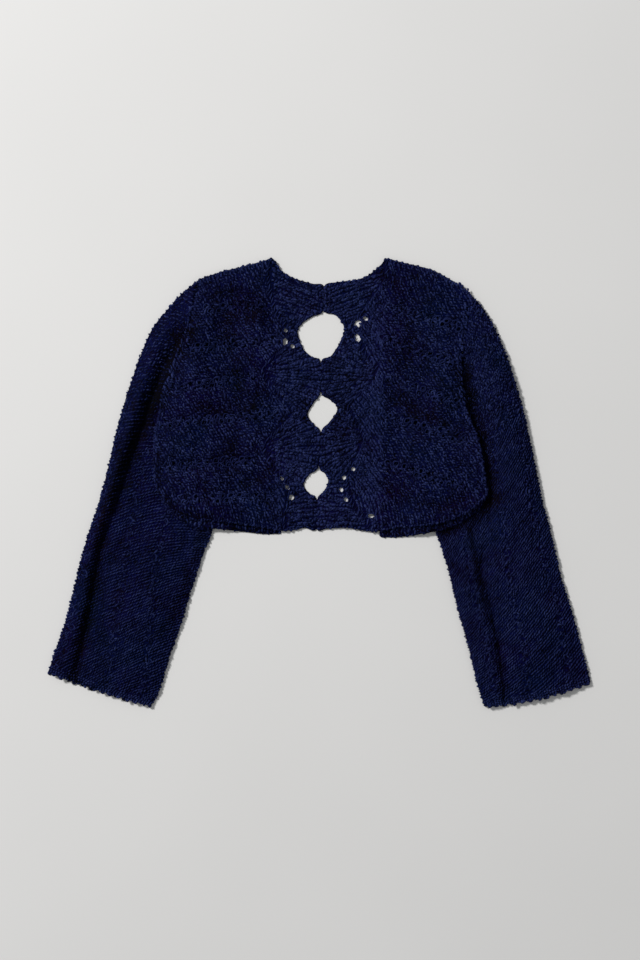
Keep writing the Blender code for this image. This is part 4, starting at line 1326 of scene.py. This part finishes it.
def joined(name, meshes):
    """One object of several meshes. Yarn that would reach into the table is pressed flat on it."""
    shape = bmesh.new()
    for mesh in meshes:
        shape.from_mesh(mesh)
        bpy.data.meshes.remove(mesh)
    result = bpy.data.meshes.new(name)
    shape.to_mesh(result)
    shape.free()
    places = np.empty(len(result.vertices) * 3, np.float32)
    result.vertices.foreach_get("co", places)
    heights, softness = places[2::3], 0.4 * MM
    places[2::3] = (heights + np.sqrt(heights ** 2 + softness ** 2)) / 2
    result.vertices.foreach_set("co", places)
    result.materials.clear()
    result.materials.append(yarn)
    print(name, "triangles", sum(len(face.vertices) - 2 for face in result.polygons))
    return put_in_scene(name, result)


# %% [markdown]
# ## Stitches of the backs
#
# Everything comes together on the two halves of the back: plain bands between the columns,
# stray stitches and loops round the eyelets, ridges in the fans, a ladder of slack bars along
# the zigzag, and a cord of plump stitches along every edge. Where no front lies below, the
# under side is knitted too.

# %% Stitches of the backs
TOP_JOIN = 31.0
JOIN_REACH = 3.2
OVERLAP = 5.0
SWAY = 1.9
SWING_BODY = 5.4
SWING_SLEEVE = 4.4


def clear_of(places, middles, reach=4.6):
    """Whether places keep clear of the middles of eyelets."""
    if not len(middles):
        return np.ones(len(places), bool)
    return np.concatenate([np.linalg.norm(few[:, None] - middles, axis=2).min(1) > reach
                           for few in np.array_split(places, len(places) // 4000 + 1)])


def ladder(line, step, reach, slant):
    """Short bars across a zigzag line, all slanting the same way."""
    line = smooth(line, 1.0)
    length = travelled(line)
    bars = []
    for number, place in enumerate(np.arange(3, length[-1] - 2, step)):
        middle = np.array([np.interp(place, length, line[:, axis]) for axis in (0, 1)])
        tilt = slant + 0.25 * math.sin(number * 2.4)
        way = np.array((math.cos(tilt), math.sin(tilt)))
        t = np.linspace(-reach, reach, 6)[:, None]
        bars.append(middle + way * t)
    return bars


def zigzags(side):
    """A line that swings across each column of eyelets, for the stray stitches between them."""
    lines = []
    for row in COLUMNS[side]:
        start, end = np.array((row.start_x, row.start_y)), np.array((row.end_x, row.end_y))
        length = np.linalg.norm(end - start)
        t = np.arange(0, length, 1.5)[:, None]
        way = (end - start) / length
        across = np.array((-way[1], way[0]))
        lines.append(start + way * t + across * SWING_BODY * np.sin(t / SWAY + row.start_x))
    return lines


def edge_line(outline, inward):
    """A closed line a little inside an outline, and further inside round the keyholes."""
    way = np.roll(outline, -1, axis=0) - np.roll(outline, 1, axis=0)
    way /= np.maximum(np.linalg.norm(way, axis=1), 1e-6)[:, None]
    sign = 1 if np.cross(outline, np.roll(outline, -1, axis=0)).sum() > 0 else -1
    inward = inward + 0.9 * np.sign(inward) * np.exp(-(outline[:, :1] / 26) ** 4)
    return outline + sign * inward * np.column_stack([-way[:, 1], way[:, 0]])


def off_joins(places):
    """Whether places are away from the seams of the centre back."""
    lines = [np.array(((join.top_x, join.top_y), (join.bottom_x, join.bottom_y))) for join in JOINS]
    return np.all([distance(places, line) > JOIN_REACH for line in lines], axis=0)


def free_edge(places):
    """Whether an edge is free: not sewn at a join nor to a sleeve."""
    return off_joins(places) & ~sewn_side(places)


def edging(panel, seed):
    """Stitches along the free edges of a panel, with a small bump at every second one."""
    line = edge_line(panel.outline, 1.4)
    rope = runs([np.vstack([line, line[:1]])], free_edge)
    line = edge_line(panel.outline, 0.9)
    bumps = runs([np.vstack([line, line[:1]])], free_edge)
    return [rows_of_stitches(panel, rope, 0.8, size=(1.15, 2.6, 2.5), pitch=EDGE_STITCH, turn=0.5,
                             seed=seed),
            rows_of_stitches(panel, bumps, 0.9, size=(0.62, 3.5, 2.8), pitch=7.2, turn=0.9, uneven=0.3,
                             scatter=0.7, seed=seed + 1)]


def back_stitches(name, side):
    """All the stitches on one half of the back."""
    panel = panels[name]
    front = panels[name.replace("back", "front")]
    eyelets = body_eyelets(side)
    hand = 1 if side == "left" else -1
    fan_line = FAN_LINES[side][::-1]
    wide = [loop for loop in panel.eyelets if len(loop) >= WIDE_CORNERS]
    large = np.array([loop.mean(0) for loop in wide])

    def outward(places):
        x = np.interp(places[:, 1], fan_line[:, 1], fan_line[:, 0])
        return (places[:, 0] - x) * -hand

    def plain(places):
        near = distance(places, panel.outline, closed=True)
        keep = (inside(places, panel.outline) & (near > 1.6)) | (sewn_side(places) & (near < 2.2))
        keep &= outward(places) > 2.6
        return keep & clear_of(places, eyelets, EYELET_CLEAR) & clear_of(places, large)

    def fan(places):
        return panel.within(places, 2.2) & (outward(places) < -2.6) & clear_of(places, large)

    meshes = [rows_of_stitches(panel, runs(body_rows(side, panel.outline), plain), scatter=0.85, spread=0.6,
                               uneven=0.4, seed=11)]
    ridges = runs(fan_rows(side), fan)
    meshes.append(rows_of_stitches(panel, ridges, 0.5, size=(1.2, 2.8, 3.0), pitch=3.9, turn=0.4,
                                   spread=0.9, uneven=0.36, scatter=1.1, seed=21))
    meshes.append(rows_of_stitches(panel, runs(zigzags(side), lambda places: panel.within(places, 3.0)), 0.55,
                                   pitch=4.6, spread=1.5, uneven=0.45, scatter=1.0, seed=23))
    if side == "right":
        seam = [np.array(((x, y), (x, y - TOP_JOIN))) for x, y in ((8.6, 257.0), (13.2, 258.0))]
        seam = runs([smooth(line, 1.5) for line in seam], lambda places: panel.within(places, 1.5))
        meshes.append(rows_of_stitches(panel, seam, -0.5, size=(1.2, 3.1, 3.0), pitch=4.4, turn=0.3,
                                       seed=22))
    places = eyelets[panel.within(eyelets, 3.0)]
    rings, thick = loops_round(places, np.ones(len(places)), EYELET_SLANT, 5)
    meshes.append(yarn_lines(panel, rings, 0.6, closed=True, thickness=thick, seed=31))
    for loop in wide:
        ring = smooth(edge_line(loop, -1.2), 2.0, closed=True)
        meshes.append(yarn_lines(panel, [ring], 0.4, closed=True, thickness=np.full(len(ring), 0.75),
                                 seed=32))
    bars = ladder(fan_line, 5.8, 4.2, math.radians(66))
    bars = runs(bars, lambda places: panel.within(places, 2.0))
    thick = [(0.85 + 0.25 * math.sin(number * 4.1)) * np.sin(np.linspace(0.3, 2.84, len(bar)))
             for number, bar in enumerate(bars)]
    meshes.append(yarn_lines(panel, bars, 0.3, thickness=np.concatenate(thick), seed=41))
    meshes += edging(panel, 51)
    below = runs(body_rows(side, panel.outline),
                 lambda places: plain(places) & ~front.within(places, OVERLAP))
    meshes.append(rows_of_stitches(panel, below, 0.6, side=-1, seed=61))
    below = runs(fan_rows(side), lambda places: fan(places) & ~front.within(places, OVERLAP))
    meshes.append(rows_of_stitches(panel, below, 0.6, side=-1, size=(1.35, 3.0, 2.2), turn=0.35, seed=62))
    return joined(name + "_stitches", meshes)


stitches = {"back_left": back_stitches("back_left", "left"),
            "back_right": back_stitches("back_right", "right")}


# %% [markdown]
# ## Stitches of the fronts
#
# The fronts lie underneath. From above only a strip shows along the hem and a little through
# the eyelets, so the upper side is knitted only there; the under side is knitted in full,
# because whoever picks the garment up sees it.

# %% Stitches of the fronts
def front_stitches(name, side):
    """The stitches on one front."""
    panel = panels[name]
    back = panels[name.replace("front", "back")]
    eyelets = body_eyelets(side)

    def plain(places):
        return panel.within(places, 2.4) & clear_of(places, eyelets, EYELET_CLEAR)

    def seen(places):
        return plain(places) & ~back.within(places, 6.0)

    rows = body_rows(side, panel.outline)
    meshes = [rows_of_stitches(panel, runs(rows, seen), seed=12),
              rows_of_stitches(panel, runs(rows, plain), 0.8, side=-1, seed=13)]
    places = eyelets[panel.within(eyelets, 3.0)]
    rings, thick = loops_round(places, np.ones(len(places)), EYELET_SLANT, 5)
    meshes.append(yarn_lines(panel, rings, 0.9, side=-1, closed=True, thickness=thick, seed=33))
    meshes += edging(panel, 53)
    return joined(name + "_stitches", meshes)


stitches["front_left"] = front_stitches("front_left", "left")
stitches["front_right"] = front_stitches("front_right", "right")


# %% [markdown]
# ## Stitches of the sleeves
#
# A sleeve is knitted all the way round. The part of its upper side that lies deep under the
# body is left plain, because nothing can see it. At the shoulder the stitches are as uneven as
# the body's, and down the arm the rows are crisp. Stray stitches swing along each column of
# eyelets. The cuff ends in a cast-off edge of curled stitches, with a small rounded scallop
# every third stitch.

# %% Stitches of the sleeves
COVERED = 9.0
HOLLOW_LIMIT = 0.93


def strays(sleeve, stop):
    """Lines that swing along the columns of a sleeve, for the stray stitches between its eyelets."""
    along = np.arange(SHOULDER, stop, 1.5)
    return [np.column_stack([along, sleeve.column(number, along)
                             + SWING_SLEEVE * np.sin(along / SWAY + number) / sleeve.scale(along)])
            for number in range(len(sleeve.columns))]


def sleeve_stitches(name, sleeve):
    """The stitches on one sleeve."""
    side = name.split("_")[1]
    cover = panels["back_" + side].outline
    end = sleeve.length

    def on_top(places):
        turn = (places[:, 1] / Sleeve.ROUND) % 1.0
        return (turn > 0.25) & (turn < 0.75)

    def hidden(places):
        plan = sleeve.place(places)[:, :2]
        return on_top(places) & inside(plan, cover) & (distance(plan, cover, closed=True) > COVERED)

    eyelets = sleeve_eyelets(sleeve, end - CUFF)
    eyelets[:, 1] %= Sleeve.ROUND
    eyelets = eyelets[~hidden(eyelets) & (sleeve.fullness_and_shade(eyelets) > HOLLOW_LIMIT)]

    def plain(places):
        in_sleeve = (places[:, 0] > 1.5) & (places[:, 0] < end - CUFF)
        real = np.column_stack([places[:, 0], places[:, 1] * sleeve.scale(places[:, 0])])
        middles = np.column_stack([eyelets[:, 0], eyelets[:, 1] * sleeve.scale(eyelets[:, 0])])
        return in_sleeve & clear_of(real, middles, EYELET_CLEAR + 0.5) & ~hidden(places)

    def shoulder(places):
        return plain(places) & (places[:, 0] < SHOULDER + 12 * np.sin(places[:, 1] / 23))

    def arm(places):
        return plain(places) & ~shoulder(places)

    rows = sleeve_rows(sleeve)
    meshes = [rows_of_stitches(sleeve, runs(rows, shoulder), 0.6, size=(1.25, 2.4, 2.9), scatter=0.9,
                               spread=0.8, uneven=0.4, seed=15),
              rows_of_stitches(sleeve, runs(rows, arm), 0.6, size=(1.42, 2.05, 3.0),
                               scatter=0.3, spread=0.3, uneven=0.3, vary=0.26, seed=14)]
    meshes.append(rows_of_stitches(sleeve, runs(strays(sleeve, end - CUFF), lambda places: ~hidden(places)),
                                   0.45, size=(1.1, 2.2, 2.9), pitch=4.8, spread=1.3, uneven=0.4,
                                   scatter=0.9, seed=24))
    open_ones = eyelets[::3]
    stretch = 1 / sleeve.scale(open_ones[:, 0])
    rings, thick = loops_round(open_ones, stretch, EYELET_SLANT * sleeve.hand, 6, body=0.2, grow=0.5)
    meshes.append(yarn_lines(sleeve, rings, 0.5, closed=True, thickness=thick, seed=34))
    w = np.arange(0, Sleeve.ROUND, 3.0)
    for number, inward in enumerate((1.6, 4.4, 7.2)):
        line = np.column_stack([end - inward + 0.6 * np.sin(w / 2.1), w])
        meshes.append(rows_of_stitches(sleeve, [line], 0.5, size=(1.15, 2.9, 2.6), pitch=3.6, turn=0.8,
                                       uneven=0.2, scatter=0.4, seed=70 + number, closed=True))
    line = np.column_stack([np.full(len(w), end - 0.2), w])
    meshes.append(rows_of_stitches(sleeve, [line], 0.8, size=(0.5, 4.6, 2.8), pitch=11.5, turn=0.3,
                                   uneven=0.35, scatter=1.0, seed=75, closed=True))
    lengths = np.arange(8.0, end - 4.0, 3.0)
    rims = [np.column_stack([lengths, np.full(len(lengths), Sleeve.ROUND * turn)]) for turn in (0.25, 0.75)]
    rims = runs(rims, lambda places: ~hidden(places))
    meshes.append(rows_of_stitches(sleeve, rims, 0.6, size=(0.42, 2.8, 2.6), pitch=7.4, turn=0.6,
                                   uneven=0.35, scatter=0.8, seed=76))
    return joined(name + "_stitches", meshes)


for name, sleeve in sleeves.items():
    stitches[name] = sleeve_stitches(name, sleeve)
bpy.data.meshes.remove(STITCH_SHAPE.data)

# %% [markdown]
# ## What each piece stands for
#
# The shells and their stitches take the place of the plain solids. A sheet's flat size is that
# of the piece smoothed out, all round on the sleeves.

# %% The pieces in place of the solids
SHEETS = {
    "back_left": ((0.225, 0.36), 0.062, ["front_left_cloth"]),
    "back_right": ((0.225, 0.36), 0.063, ["front_right_cloth"]),
    "front_left": ((0.175, 0.36), 0.047, ["sleeve_left_cloth", "floor"]),
    "front_right": ((0.150, 0.36), 0.039, ["sleeve_right_cloth", "floor"]),
    "sleeve_left": ((0.33, 0.55), 0.123, ["floor"]),
    "sleeve_right": ((0.33, 0.55), 0.123, ["floor"]),
}
for name, (flat, area, rests_on) in SHEETS.items():
    cloth, knitted = cloths[name], stitches[name]
    cloth.data.materials.append(ground)
    for piece in (cloth, knitted):
        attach(piece, "root")
    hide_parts(name)
    measured = sum(face.area for face in cloth.data.polygons) / 2
    print(name, "stated", area, "measured", round(measured, 4))

# %% [markdown]
# ## Floor, light and camera
#
# The garment lies on a pale, plain surface. One broad soft light stands to the upper left, at
# about half height, and the room fills the shadows. The camera looks straight down.

# %% Floor, light and camera
def make_floor():
    """A large pale surface."""
    mesh = bpy.data.meshes.new("floor")
    reach = 4.0
    mesh.from_pydata([(-reach, -reach, 0), (reach, -reach, 0), (reach, reach, 0), (-reach, reach, 0)],
                     [], [(0, 1, 2, 3)])
    material, tree, shader = new_material("pale_surface")
    place = tree("ShaderNodeTexCoord").outputs["Object"]
    grain = tree("ShaderNodeTexNoise", {"Vector": place, "Scale": 3.0, "Detail": 2.0}).outputs[0]
    tone = tree("ShaderNodeMapRange", {"Value": grain, "To Min": 0.68, "To Max": 0.72}).outputs[0]
    tree.join(shader.inputs["Base Color"], tone)
    shader.inputs["Roughness"].default_value = 0.7
    mesh.materials.append(material)
    return put_in_scene("floor", mesh)


def area_light(name, place, size, power, colour):
    """A soft light that looks at the garment."""
    light = bpy.data.lights.new(name, "AREA")
    light.shape = "DISK"
    light.size = size
    light.energy = power
    light.color = colour
    lamp = put_in_scene(name, light)
    lamp.location = place
    lamp.rotation_euler = (-Vector(place)).to_track_quat("-Z", "Y").to_euler()


scene = bpy.context.scene
floor = make_floor()
area_light("key", (-3.6, 2.8, 3.9), 1.15, 352.0, (1.0, 0.985, 0.965))
world = bpy.data.worlds.new("room")
world.use_nodes = True
world.node_tree.nodes["Background"].inputs["Color"].default_value = (0.97, 0.98, 0.98, 1.0)
world.node_tree.nodes["Background"].inputs["Strength"].default_value = 0.34
scene.world = world
scene.view_settings.view_transform = "Standard"

CAMERA_HEIGHT = 1.9
FRAME_HEIGHT = 1.248
lens = bpy.data.cameras.new("camera")
lens.sensor_fit = "VERTICAL"
lens.sensor_width = lens.sensor_height = 36.0
lens.lens = 36.0 * CAMERA_HEIGHT / FRAME_HEIGHT
lens.clip_end = 20.0
camera = put_in_scene("camera", lens)
camera.location = (0.85 * MM, 4.4 * MM, CAMERA_HEIGHT)
scene.camera = camera
